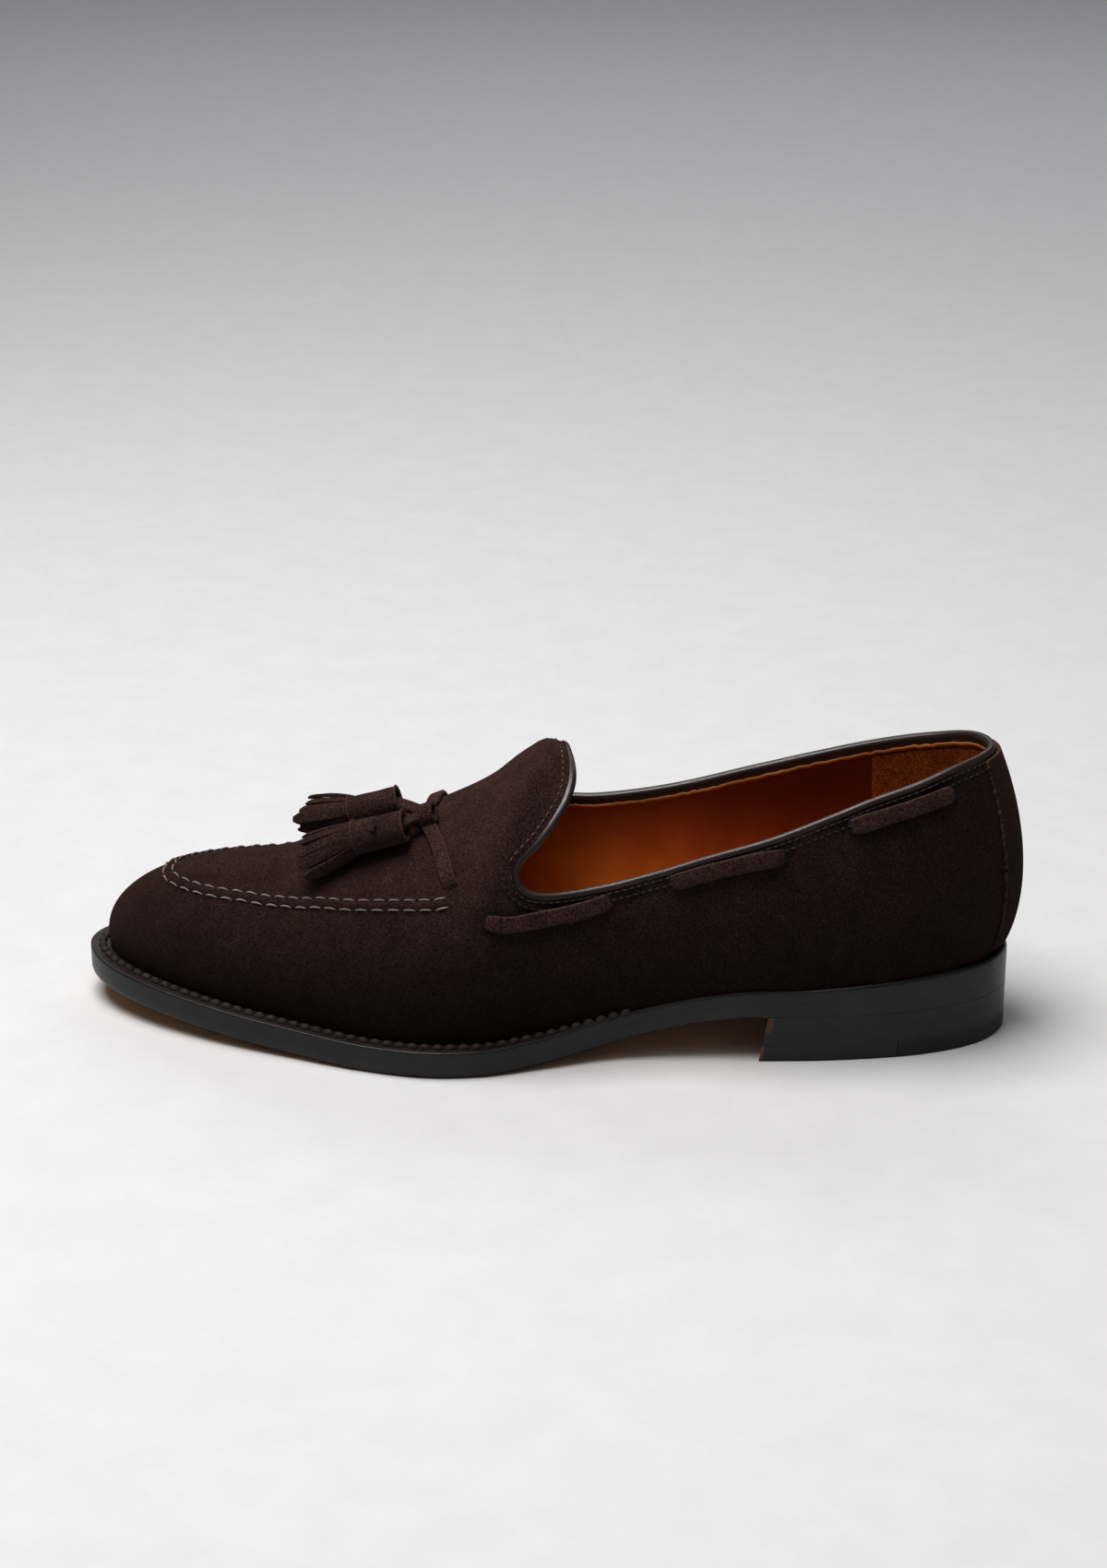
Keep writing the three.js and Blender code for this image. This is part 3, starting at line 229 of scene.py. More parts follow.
edge_line, edge_run = closed_curve(SOLE_EDGE)
EDGE_LENGTH = edge_run[-1]
TOE_TURN = edge_run[edge_line[:, 0].argmax()] / EDGE_LENGTH
low_end = edge_run[edge_line[:, 0].argmin()] / EDGE_LENGTH
HEEL_TURN = low_end - 1 if low_end > 0.5 else low_end
SHIFT_Y = (sole_low[1] + sole_high[1]) / 2 + (edge_line[:, 1].max() + edge_line[:, 1].min()) / 2


def edge_at(turn):
    """Where the edge of the sole is, as along and out."""
    run = (np.asarray(turn, float) % 1.0) * EDGE_LENGTH
    return np.stack([np.interp(run, edge_run, edge_line[:, k]) for k in (0, 1)], -1)


def edge_normal(turn):
    """The outward direction of the sole's edge, from above."""
    step = edge_at(np.asarray(turn) + 0.001) - edge_at(np.asarray(turn) - 0.001)
    step /= np.linalg.norm(step, axis=-1, keepdims=True)
    return np.stack([-step[..., 1], step[..., 0]], -1)


inner_turns = np.linspace(TOE_TURN, HEEL_TURN + 1, 4000)
inner_along = edge_at(inner_turns)[:, 0]
outer_turns = np.linspace(TOE_TURN, HEEL_TURN, 4000)
outer_along = edge_at(outer_turns)[:, 0]


def turn_at(side, share):
    """The turn at a share of the way from the toe, 0, to the heel, 1, on a side of the shoe."""
    outer = TOE_TURN + (HEEL_TURN - TOE_TURN) * np.asarray(share, float)
    if side == "outer":
        return outer
    return np.interp(-edge_at(outer)[..., 0], -inner_along, inner_turns)


def turn_along(side, along):
    """The turn on a side at a distance along the shoe."""
    if side == "outer":
        return np.interp(-np.asarray(along, float), -outer_along, outer_turns)
    return np.interp(-np.asarray(along, float), -inner_along, inner_turns)


def sided(rows, along, turn):
    """The value from a table with a column for each side."""
    outer = (np.asarray(turn) - HEEL_TURN) % 1.0 < TOE_TURN - HEEL_TURN
    return np.where(outer, rows_at(rows, "outer", along), rows_at(rows, "inner", along))


def underside(along):
    share = np.asarray(along) / SOLE_LENGTH
    return rows_at(SOLE_LINE, "heel", share) * HEEL_HEIGHT + rows_at(SOLE_LINE, "spring", share) * TOE_SPRING


def outsole_top(along):
    return underside(along) + OUTSOLE_THICKNESS


def welt_top(along):
    f = np.clip(np.asarray(along) / HEEL_BREAST, 0, 1)
    return outsole_top(along) + GAP + WELT_THICKNESS + SEAT_RISE * (1 - f * f * (3 - 2 * f))


def feather(turn, more=0.0):
    """The foot of the upper, carried in from the sole's edge by the welt's margin."""
    edge = edge_at(turn)
    margin = sided(WELT_LINE, edge[..., 0] / SOLE_LENGTH, turn) * WELT_MARGIN + more
    return edge - edge_normal(turn) * np.asarray(margin)[..., None]


def ridge_height(along):
    return rows_at(RIDGE, "up", np.asarray(along) / SOLE_LENGTH) * INSTEP_HEIGHT


def ridge_slope(along):
    return (ridge_height(along + 1) - ridge_height(along - 1)) / 2


def last_point(turn, climb):
    """A point of the outside of the upper."""
    turn, climb = np.broadcast_arrays(np.asarray(turn, float), np.asarray(climb, float))
    station = edge_at(turn)[..., 0] / SOLE_LENGTH
    foot = np.concatenate([feather(turn), np.zeros(turn.shape + (1,))], -1)
    foot[..., 2] = welt_top(foot[..., 0]) + GAP
    at = rows_at(SECTIONS, "ridge", station) * SOLE_LENGTH
    top = np.stack([at, rows_at(RIDGE, "out", at / SOLE_LENGTH) * BALL_WIDTH, ridge_height(at)], -1)
    side = foot.copy()
    side[..., 2] += rows_at(SECTIONS, "wall", station) * (top[..., 2] - foot[..., 2])
    side[..., :2] += edge_normal(turn) * (sided(SECTIONS, station, turn) * BULGE)[..., None]
    crown = (foot - top) * rows_at(SECTIONS, "crown", station)[..., None]
    crown[..., 0] -= rows_at(SECTIONS, "lean", station) * SOLE_LENGTH
    crown[..., 2] = ridge_slope(at) * crown[..., 0]
    crown += top
    c = climb[..., None]
    return (1 - c) ** 3 * foot + 3 * (1 - c) ** 2 * c * side + 3 * (1 - c) * c * c * crown + c**3 * top


def last_normal(turn, climb):
    """The outward direction of the upper."""
    turn, climb = np.broadcast_arrays(np.asarray(turn, float), np.asarray(climb, float))
    low = np.clip(climb - 0.002, 0, 1)
    up = last_point(turn, np.clip(climb, 0, 0.998) + 0.002) - last_point(turn, np.minimum(low, 0.996))
    near = np.minimum(climb, 0.998)
    around = last_point(turn + 0.001, near) - last_point(turn - 0.001, near)
    normal = -np.cross(around, up)
    normal /= np.linalg.norm(normal, axis=-1, keepdims=True) + 1e-12
    top = last_point(turn, np.ones_like(climb))
    ridge = np.stack([-ridge_slope(top[..., 0]), np.zeros_like(climb), np.ones_like(climb)], -1)
    ridge /= np.linalg.norm(ridge, axis=-1, keepdims=True)
    return np.where((climb > 0.999)[..., None], ridge, normal)


def on_last(turn, climb, lift=0.0):
    return last_point(turn, climb) + last_normal(turn, climb) * np.asarray(lift)[..., None]


def bisected(f, low, high, rounds=32):
    """Where a rising or falling function of whole lists crosses nought."""
    rising = f(high) > f(low)
    for _ in range(rounds):
        middle = (low + high) / 2
        over = (f(middle) > 0) == rising
        high, low = np.where(over, middle, high), np.where(over, low, middle)
    return (low + high) / 2


def corner_of(side):
    """Where the tongue's edge meets the topline, as share and climb."""
    along, height = TOPLINE["along"][-1] * SOLE_LENGTH, TOPLINE[side][-1] * BACK_HEIGHT

    def share_at(climb):
        level = np.full_like(climb, 0.15), np.full_like(climb, 0.75)
        return bisected(lambda s: last_point(turn_at(side, s), climb)[..., 0] - along, *level)

    ends = np.array([0.1]), np.array([0.9])
    climb = bisected(lambda c: last_point(turn_at(side, share_at(c)), c)[..., 2] - height, *ends)
    return float(share_at(climb)[0]), float(climb[0])


CORNERS = {side: corner_of(side) for side in ("outer", "inner")}
TOE_CLIMB = (CORNERS["outer"][1] + CORNERS["inner"][1]) / 2


def vamp_end(side, climb):
    """How far back the vamp reaches at a climb, as a share."""
    share, low = CORNERS[side]
    up = np.clip((climb - low) / (1 - low), 0, 1)
    along = rows_at(TONGUE_EDGE, side, up, "up") * SOLE_LENGTH
    ends = np.full_like(climb, 0.15), np.full_like(climb, 0.9)
    end = bisected(lambda s: last_point(turn_at(side, s), climb)[..., 0] - along, *ends)
    return np.where(climb <= low, share, end)


def quarter_end(side, turn):
    """The climb at which the quarter ends at the topline."""

    def over(climb):
        point = last_point(turn, climb)
        return point[..., 2] - rows_at(TOPLINE, side, point[..., 0] / SOLE_LENGTH) * BACK_HEIGHT

    return bisected(over, np.full_like(turn, 0.1), np.full_like(turn, 0.9))


def placed(points):
    """From millimetres of the shoe to metres of the frame."""
    points = np.asarray(points, float)
    return np.stack(
        [(SHIFT_X - points[..., 0]) * MM, (SHIFT_Y - points[..., 1]) * MM, points[..., 2] * MM], -1
    )


print("corners of the throat:", CORNERS, "edge:", round(EDGE_LENGTH, 1), "mm")

# %% [markdown]
# ## Setting up the camera
# Now that the shoe's own middle is known, the camera's place is turned into the frame, and the camera is
# set there.

# %% Place the camera
place, right, up, ahead = camera_frame()
turn_back = np.array(
    [
        [math.cos(TURNED), math.sin(TURNED), 0],
        [-math.sin(TURNED), math.cos(TURNED), 0],
        [0, 0, 1],
    ]
)
middle = np.array([SHIFT_X - SOLE_LENGTH / 2, SHIFT_Y, 0])
place, right, up, ahead = turn_back @ place + middle, turn_back @ right, turn_back @ up, turn_back @ ahead
axes = Matrix([[right[i], up[i], -ahead[i]] for i in range(3)]).to_4x4()
camera.matrix_world = Matrix.Translation(Vector(place * MM)) @ axes
print("camera at", [round(v, 3) for v in place * MM])

# %% [markdown]
# ## Light and floor
# The photograph has soft daylight from above and behind the shoe, a little from the toe's side, and a
# pale board below. Two large area lamps stand for the windows, a weak one in front fills the shadows, and
# one far behind lights the back of the floor. The board is a plain pale floor.

# %% Light and floor
def lamp(name, at, size, watts, colour=(1, 1, 1), aim=(0, 0, 0.05)):
    bpy.ops.object.select_all(action="DESELECT")
    bpy.ops.object.light_add(type="AREA", location=at)
    light = bpy.context.object
    light.name = name
    light.data.shape = "RECTANGLE"
    light.data.size, light.data.size_y = size
    light.data.energy = watts
    light.data.color = colour
    light.rotation_euler = (Vector(aim) - Vector(at)).to_track_quat("-Z", "Y").to_euler()
    return light


lamp("window_above", (-0.34, -0.1, 1.5), (1.1, 0.9), 36.0, (1, 0.985, 0.97))
lamp("window_behind", (0.15, 2.0, 1.5), (2.4, 1.2), 11.0, (0.96, 0.98, 1))
lamp("background_light", (0.0, 3.2, 2.6), (3.0, 1.4), 30.0, (0.97, 0.98, 1), (0, 4.2, 0))
lamp("fill_front", (0.0, -1.1, 1.9), (1.4, 0.9), 4.5, (1, 0.99, 0.98))

bpy.context.scene.view_settings.view_transform = "Standard"
bpy.context.scene.view_settings.gamma = 0.8
world = bpy.data.worlds.new("studio")
bpy.context.scene.world = world
world.use_nodes = True
world.node_tree.nodes["Background"].inputs["Color"].default_value = (0.6, 0.6, 0.62, 1)
world.node_tree.nodes["Background"].inputs["Strength"].default_value = 0.2

bpy.ops.object.select_all(action="DESELECT")
bpy.ops.mesh.primitive_plane_add(size=14, location=(0, 0, -0.0002))
floor = bpy.context.object
floor.name = "floor"
bpy.ops.object.transform_apply(location=True, rotation=True, scale=True)

# %% [markdown]
# ## Finishes
# Each finish is a small tree of nodes: a noise or two for the colour, another for the relief, and fixed
# values for gloss and sheen on the shader itself. The helpers below keep each recipe short.


# %% Finish helpers
def finish(name, base, rough, specular=0.3, sheen=0.0, sheen_rough=0.4, sheen_tint=None):
    """A new material with its fixed values, and the parts that a recipe needs."""
    material = bpy.data.materials.new(name)
    material.use_nodes = True
    tree = material.node_tree
    shader = tree.nodes["Principled BSDF"]
    shader.inputs["Base Color"].default_value = (*base, 1)
    shader.inputs["Roughness"].default_value = rough
    shader.inputs["Specular IOR Level"].default_value = specular
    shader.inputs["Sheen Weight"].default_value = sheen
    shader.inputs["Sheen Roughness"].default_value = sheen_rough
    shader.inputs["Sheen Tint"].default_value = (*(sheen_tint or base), 1)
    return material, tree, shader


def noise(tree, scale, detail=3.0, rough=0.55, kind="NOISE"):
    """A noise on the piece's own coordinates: scale is how many bumps there are in a millimetre."""
    where = tree.nodes.new("ShaderNodeTexCoord")
    node = tree.nodes.new("ShaderNodeTexNoise" if kind == "NOISE" else "ShaderNodeTexVoronoi")
    node.inputs["Scale"].default_value = scale * 1000
    if kind == "NOISE":
        node.inputs["Detail"].default_value = detail
        node.inputs["Roughness"].default_value = rough
    tree.links.new(where.outputs["Object"], node.inputs["Vector"])
    return node.outputs["Fac" if kind == "NOISE" else "Distance"]


def ramp(tree, value, *stops):
    """A colour ramp over a value: each stop is a place and a colour, or a place and a number."""
    node = tree.nodes.new("ShaderNodeValToRGB")
    tree.links.new(value, node.inputs["Fac"])
    places = node.color_ramp.elements
    while len(places) < len(stops):
        places.new(0.5)
    for element, (at, colour) in zip(places, stops):
        element.position = at
        element.color = (*colour, 1) if isinstance(colour, tuple) else (colour, colour, colour, 1)
    return node.outputs["Color"]


def mixed(tree, share, a, b, way="MIX"):
    """A mix of two colours, each a socket or a fixed colour."""
    node = tree.nodes.new("ShaderNodeMix")
    node.data_type = "RGBA"
    node.blend_type = way
    for value, socket in ((share, node.inputs["Factor"]), (a, node.inputs["A"]), (b, node.inputs["B"])):
        if isinstance(value, bpy.types.NodeSocket):
            tree.links.new(value, socket)
        elif isinstance(value, tuple):
            socket.default_value = (*value, 1)
        else:
            socket.default_value = value
    return node.outputs["Result"]


def maths(tree, way, a, b):
    node = tree.nodes.new("ShaderNodeMath")
    node.operation = way
    for value, socket in zip((a, b), node.inputs):
        if isinstance(value, bpy.types.NodeSocket):
            tree.links.new(value, socket)
        else:
            socket.default_value = value
    return node.outputs["Value"]


def painted_shade_along(tree, colour, axis, start, stop, *stops):
    """A colour darkened by painted shade: a ramp along one axis of the shoe, between two places in
    millimetres.
    """
    where = tree.nodes.new("ShaderNodeTexCoord")
    split = tree.nodes.new("ShaderNodeSeparateXYZ")
    tree.links.new(where.outputs["Object"], split.inputs["Vector"])
    reach = maths(tree, "DIVIDE", split.outputs[axis], (stop - start) * MM)
    share = maths(tree, "SUBTRACT", reach, start / (stop - start))
    return mixed(tree, 1.0, colour, ramp(tree, share, *stops), "MULTIPLY")


def relief(tree, shader, height, depth, strength=1.0, before=None):
    """Bump from a height, in millimetres of depth. A second bump can stand on a first."""
    node = tree.nodes.new("ShaderNodeBump")
    node.inputs["Strength"].default_value = strength
    node.inputs["Distance"].default_value = depth * MM
    tree.links.new(height, node.inputs["Height"])
    if before:
        tree.links.new(before, node.inputs["Normal"])
    tree.links.new(node.outputs["Normal"], shader.inputs["Normal"])
    return node.outputs["Normal"]


def suede(name, dark, lit, grain=1.3, lint=0.0, glow=0.16, foot=None):
    """Napped leather: mottled by the lie of the nap, rough, and brighter where it is seen edge on."""
    material, tree, shader = finish(name, lit, 0.97, 0.06, glow, 0.5, tuple(min(c * 9, 1) for c in lit))
    nap = noise(tree, 0.12, 5, 0.7)
    fine = noise(tree, grain, 3, 0.75)
    colour = mixed(tree, ramp(tree, nap, (0.32, 0.0), (0.7, 1.0)), dark, lit)
    colour = mixed(tree, 0.85, colour, ramp(tree, fine, (0.34, 0.0), (0.66, 2.1)), "MULTIPLY")
    if lint:
        specks = ramp(tree, noise(tree, 0.36, 0, 0, kind="VORONOI"), (0.0, 1.0), (0.06, 0.0))
        rare = ramp(tree, noise(tree, 0.09, 1, 0.5), (0.58, 0.0), (0.62, 1.0))
        here = mixed(tree, 1.0, specks, rare, "MULTIPLY")
        colour = mixed(tree, here, colour, (lint, lint * 0.8, lint * 0.68))
    # Painted shade: darker towards the welt, up to the foot height, and darker towards the heel.
    if foot:
        colour = painted_shade_along(tree, colour, "Z", 0, foot, (0.3, 0.33), (1.0, 1.0))
        colour = painted_shade_along(tree, colour, "X", 0, 120, (0.0, 1.0), (1.0, 0.68))
    tree.links.new(colour, shader.inputs["Base Color"])
    first = relief(tree, shader, noise(tree, 0.4, 3, 0.6), 0.35, 0.5)
    relief(tree, shader, fine, 0.5, 1.0, first)
    return material


def smooth_leather(name, dark, lit, rough, grain=1.1, depth=0.12, specular=0.4, painted_shade_ramps=()):
    """Grain leather: pebbled finely, a little cloudy in colour, with an even gloss."""
    material, tree, shader = finish(name, lit, rough, specular)
    cloud = noise(tree, 0.05, 4, 0.6)
    colour = mixed(tree, ramp(tree, cloud, (0.35, 0.0), (0.68, 1.0)), dark, lit)
    # Each ramp darkens the colour along one axis: painted shade.
    for axis, (start, stop), least in painted_shade_ramps:
        colour = painted_shade_along(tree, colour, axis, start, stop, (0.0, (1.0, 1.0, 1.0)), (1.0, least))
    tree.links.new(colour, shader.inputs["Base Color"])
    gloss = ramp(tree, noise(tree, 0.3, 3, 0.6), (0.3, rough * 0.85), (0.7, min(rough * 1.2, 1)))
    tree.links.new(gloss, shader.inputs["Roughness"])
    relief(tree, shader, noise(tree, grain, 3, 0.6), depth, 0.8)
    return material


def dress(piece, *materials):
    piece.data.materials.clear()
    for material in materials:
        piece.data.materials.append(material)


# %% [markdown]
# ## The shoe's finishes
# Dark brown suede for the upper, darkened by painted shade towards the welt and the heel, the same suede a
# little more worn for lace and tassels, black waxed leather for the edges of the sole and heel, and smooth
# tan leather inside, made browner under the rim and towards the heel by painted shade. The floor is matt
# and pale.

# %% The suedes
SUEDE_DARK, SUEDE_LIT = (0.0283, 0.0145, 0.0118), (0.0455, 0.025, 0.0207)
# The upper's suede is darkened towards the welt and the heel with painted shade.
upper_suede = suede("upper_suede", SUEDE_DARK, SUEDE_LIT, grain=1.7, lint=0.3, foot=55)
lace_suede = suede("lace_suede", (0.034, 0.018, 0.0148), (0.06, 0.034, 0.0285), grain=1.5)
tassel_suede = suede("tassel_suede", (0.026, 0.0138, 0.0113), (0.048, 0.0275, 0.023), grain=1.5)
cut_edge = suede("cut_edge", (0.05, 0.027, 0.021), (0.085, 0.048, 0.038), grain=2.0)
grip_suede = suede("grip_suede", (0.24, 0.075, 0.013), (0.42, 0.155, 0.036), grain=1.5)

# %% The smooth leathers
binding_leather = smooth_leather(
    "binding_leather", (0.022, 0.0135, 0.0125), (0.038, 0.0245, 0.0225),
    rough=0.34, grain=1.4, depth=0.08, specular=0.5,
)
# The lining's two ramps are painted shade: darker towards the heel and darker up under the rim.
lining_leather = smooth_leather(
    "lining_leather", (0.64, 0.23, 0.032), (0.84, 0.35, 0.06), rough=0.48, grain=1.6, depth=0.06,
    painted_shade_ramps=(("X", (5, 75), (0.5, 0.3, 0.3)), ("Z", (40, 66), (0.42, 0.17, 0.3))),
)
raw_edge = smooth_leather(
    "raw_edge", (0.34, 0.12, 0.03), (0.6, 0.26, 0.07), rough=0.85, grain=2.0, depth=0.1
)
edge_wax = smooth_leather(
    "edge_wax", (0.0095, 0.0098, 0.0106), (0.0175, 0.0183, 0.0202),
    rough=0.34, grain=0.8, depth=0.06, specular=0.5,
)
welt_leather = smooth_leather(
    "welt_leather", (0.014, 0.009, 0.0075), (0.032, 0.021, 0.0175), rough=0.5, grain=0.9, depth=0.2
)
sole_bottom = smooth_leather(
    "sole_bottom", (0.52, 0.27, 0.11), (0.72, 0.42, 0.19), rough=0.5, grain=1.2, depth=0.08
)
raw_fibre = smooth_leather(
    "raw_fibre", (0.09, 0.042, 0.019), (0.2, 0.105, 0.052), rough=0.85, grain=0.9, depth=0.3
)

# %% Threads, rubber, slits and the floor
welt_cord = smooth_leather(
    "welt_cord", (0.015, 0.0095, 0.0085), (0.036, 0.0235, 0.021), rough=0.7, grain=2.0, depth=0.3
)
pale_thread = smooth_leather(
    "pale_thread", (0.17, 0.128, 0.118), (0.26, 0.205, 0.19), rough=0.75, grain=3.0, depth=0.06
)
tan_thread = smooth_leather(
    "tan_thread", (0.09, 0.058, 0.046), (0.15, 0.1, 0.082), rough=0.7, grain=3.0, depth=0.06
)
dark_thread = smooth_leather(
    "dark_thread", (0.026, 0.0165, 0.0142), (0.056, 0.037, 0.032),
    rough=0.7, grain=3.0, depth=0.06, specular=0.25,
)
rubber = smooth_leather(
    "rubber", (0.011, 0.0113, 0.012), (0.019, 0.0195, 0.021), rough=0.42, grain=0.9, depth=0.08
)
# Near-black beads stand for the slits and stitch holes: painted shade inside the openings.
painted_hole_shade = smooth_leather(
    "painted_hole_shade", (0.002, 0.0013, 0.001), (0.004, 0.0026, 0.002), rough=0.95, grain=2.0, depth=0.05
)
board = smooth_leather(
    "board", (0.54, 0.54, 0.547), (0.56, 0.56, 0.567), rough=0.7, grain=0.02, depth=0.01
)
dress(floor, board)

# %% [markdown]
# ## Laying leather
# Leather is cut flat and pulled over the last, and so it is made here. A grid primitive is the flat
# piece. Its points are then laid on the last, row by row, and operators close its seams. For a lace or a
# bead the grid is rolled into a tube first. Doubles are merged and the faces are turned outwards before a
# wall gets its thickness.


# %% Laying leather: helpers
def alone(piece):
    """Selects this piece and nothing else."""
    bpy.ops.object.select_all(action="DESELECT")
    piece.hide_set(False)
    piece.select_set(True)
    bpy.context.view_layer.objects.active = piece
    return piece


def edited(piece, *steps):
    """Runs edit-mode operators on the whole of a piece."""
    alone(piece)
    bpy.ops.object.mode_set(mode="EDIT")
    bpy.ops.mesh.select_all(action="SELECT")
    for step in steps:
        step()
    bpy.ops.object.mode_set(mode="OBJECT")
    return piece


def merge(distance=0.004):
    return lambda: bpy.ops.mesh.remove_doubles(threshold=distance * MM)


def face_out():
    bpy.ops.mesh.normals_make_consistent(inside=False)


def lay_grid(name, columns, rows, point):
    """A flat grid primitive, its points laid where point(u, v) says, in millimetres of the shoe."""
    bpy.ops.object.select_all(action="DESELECT")
    bpy.ops.mesh.primitive_grid_add(x_subdivisions=columns, y_subdivisions=rows, size=2)
    piece = bpy.context.object
    piece.name = piece.data.name = name
    flat = np.empty(len(piece.data.vertices) * 3, np.float32)
    piece.data.vertices.foreach_get("co", flat)
    flat = flat.reshape(-1, 3).astype(float)
    u = np.round((flat[:, 0] + 1) / 2 * columns) / columns
    v = np.round((flat[:, 1] + 1) / 2 * rows) / rows
    laid = placed(point(u, v)).astype(np.float32)
    piece.data.vertices.foreach_set("co", laid.ravel())
    piece.data.update()
    return piece


def joined(name, pieces):
    """One piece from several."""
    bpy.ops.object.select_all(action="DESELECT")
    for piece in pieces:
        piece.select_set(True)
    bpy.context.view_layer.objects.active = pieces[0]
    if len(pieces) > 1:
        bpy.ops.object.join()
    piece = bpy.context.object
    piece.name = piece.data.name = name
    return piece


def with_modifier(piece, kind, **settings):
    """Adds a modifier, sets it and applies it."""
    alone(piece)
    modifier = piece.modifiers.new(kind.lower(), kind)
    for key, value in settings.items():
        setattr(modifier, key, value)
    bpy.ops.object.modifier_apply(modifier=modifier.name)
    return piece


def smoothed(piece, angle=50):
    alone(piece)
    bpy.ops.object.shade_smooth_by_angle(angle=math.radians(angle))
    return piece


def belongs(piece, slot, *nodes):
    """The piece rides with the shoe and stands for these solids, which are hidden. Its slot is not used."""
    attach(piece, "root")
    if nodes:
        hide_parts(*nodes)
    print(piece.name, len(piece.data.polygons), "faces")
    return piece


def face_values(piece, what):
    """The normals or the centres of a piece's faces, a row for each face."""
    flat = np.empty(len(piece.data.polygons) * 3, np.float32)
    piece.data.polygons.foreach_get(what, flat)
    return flat.reshape(-1, 3)


def second_finish(piece, chosen):
    """Gives the chosen faces of a piece its second finish."""
    piece.data.polygons.foreach_set("material_index", chosen.astype(np.int32))


def close_ends():
    """Fills the open ends of a tube in edit mode."""
    bpy.ops.mesh.select_all(action="DESELECT")
    bpy.ops.mesh.select_non_manifold(extend=False, use_wire=False, use_multi_face=False)
    bpy.ops.mesh.fill_holes(sides=0)
    bpy.ops.mesh.select_all(action="SELECT")


def completed(piece, slot, nodes, angle, *finishes):
    """The last steps of a piece: smooth shading, its finishes and the solids it stands for."""
    smoothed(piece, angle)
    dress(piece, *finishes)
    return belongs(piece, slot, *nodes)


def unit(vectors):
    return vectors / (np.linalg.norm(vectors, axis=-1, keepdims=True) + 1e-12)


def frames_along(points, outs, closed=False):
    """For each point of a path: the direction ahead, outwards and across."""
    if closed:
        ahead = unit(np.roll(points, -1, 0) - np.roll(points, 1, 0))
    else:
        ahead = unit(np.gradient(points, axis=0))
    outs = unit(outs - ahead * (outs * ahead).sum(-1, keepdims=True))
    return ahead, outs, np.cross(outs, ahead)


def swept(name, points, outs, section, closed=False, scale=None):
    """A rolled grid along a path. Its section is a ring of (across, out), one for the whole path or one for
    each of its places."""
    ahead, outs, across = frames_along(points, outs, closed)
    count, around = len(points), len(section)
    steps = count if closed else count - 1

    def point(u, v):
        i = np.round(u * steps).astype(int) % count
        k = np.round(v * around).astype(int) % around
        size = np.ones(count) if scale is None else scale
        shape = section[k] if section.ndim == 2 else section[k, i]
        side = shape[:, :1] * across[i] * size[i][:, None]
        return points[i] + side + shape[:, 1:] * outs[i] * size[i][:, None]

    piece = lay_grid(name, steps, around, point)
    ends = () if closed else (close_ends,)
    return edited(piece, merge(), *ends, face_out)


def run_length(points):
    return np.concatenate([[0], np.cumsum(np.linalg.norm(np.diff(points, axis=0), axis=1))])


def even_steps(points, outs, pitch):
    """Places a pitch apart along a path: the points, the outward directions and the directions ahead."""
    run = run_length(points)
    count = max(int(run[-1] / pitch), 1)
    at = (np.arange(count) + 0.5) * run[-1] / count
    spots = np.stack([np.interp(at, run, points[:, k]) for k in range(3)], -1)
    out = unit(np.stack([np.interp(at, run, outs[:, k]) for k in range(3)], -1))
    ends = np.stack([np.interp(at + 0.3, run, points[:, k]) for k in range(3)], -1)
    starts = np.stack([np.interp(at - 0.3, run, points[:, k]) for k in range(3)], -1)
    ahead = unit(ends - starts)
    return spots, unit(out - ahead * (out * ahead).sum(-1, keepdims=True)), ahead


# %% [markdown]
# ## Shaping the suede
# On a real last the leather isn't perfectly even. It swells a little behind a seam, sinks at a slit, and
# creases softly where the vamp turns into the throat. Each of those is a line on the last with a depth
# and a width. The suede is pushed in or out near it. A slow wave on top keeps the highlights from
# looking machined.


# %% Lines on the last
def last_line(side, stops, count=60):
    """A smooth line on the last through (share, climb) stops: its turns and climbs."""
    stops = np.array(stops, float)
    run = np.linspace(0, 1, len(stops))
    f = np.linspace(0, 1, count)
    rows = {"f": run, "share": stops[:, 0], "climb": stops[:, 1]}
    return turn_at(side, rows_at(rows, "share", f, "f")), rows_at(rows, "climb", f, "f")


LACE_RUNS = [
    [(0.45, 0.33), (0.575, 0.35)],
    [(0.64, 0.36), (0.74, 0.375)],
    [(0.805, 0.425), (0.912, 0.468)],
]
CREASES = [
    ("outer", [(0.47, 0.44), (0.455, 0.53), (0.45, 0.62)], -0.55, 4.0),
    ("outer", [(0.5, 0.4), (0.487, 0.47), (0.48, 0.55)], 0.5, 5.0),
    ("outer", [(0.41, 0.5), (0.43, 0.42), (0.45, 0.36)], -0.35, 5.0),
    ("outer", [(0.6, 0.34), (0.63, 0.27), (0.64, 0.2)], -0.3, 6.0),
    ("outer", [(0.78, 0.36), (0.79, 0.28), (0.78, 0.2)], 0.3, 7.0),
    ("inner", [(0.47, 0.44), (0.455, 0.53), (0.45, 0.62)], -0.55, 4.0),
    ("inner", [(0.6, 0.34), (0.63, 0.27), (0.64, 0.2)], -0.3, 6.0),
]
CREASES += [(side, run, -0.55, 3.4) for run in LACE_RUNS for side in ("outer", "inner")]
crease_lines = [(last_point(*last_line(side, stops)), depth, width) for side, stops, depth, width in CREASES]


def suede_relief(points):
    """How far the suede stands out from the last at each point, in millimetres."""
    x, y, z = points[:, 0], points[:, 1], points[:, 2]
    slow = 0.16 * np.sin(x / 17 + y / 23) * np.cos(z / 13 - x / 31)
    lift = slow + 0.09 * np.sin(x / 7.1 + z / 9.3 + y / 8)
    for line, depth, width in crease_lines:
        near = np.full(len(points), 1e9)
        for spot in line[::3]:
            near = np.minimum(near, ((points - spot) ** 2).sum(1))
        lift += depth * np.exp(-near / width**2)
    return lift


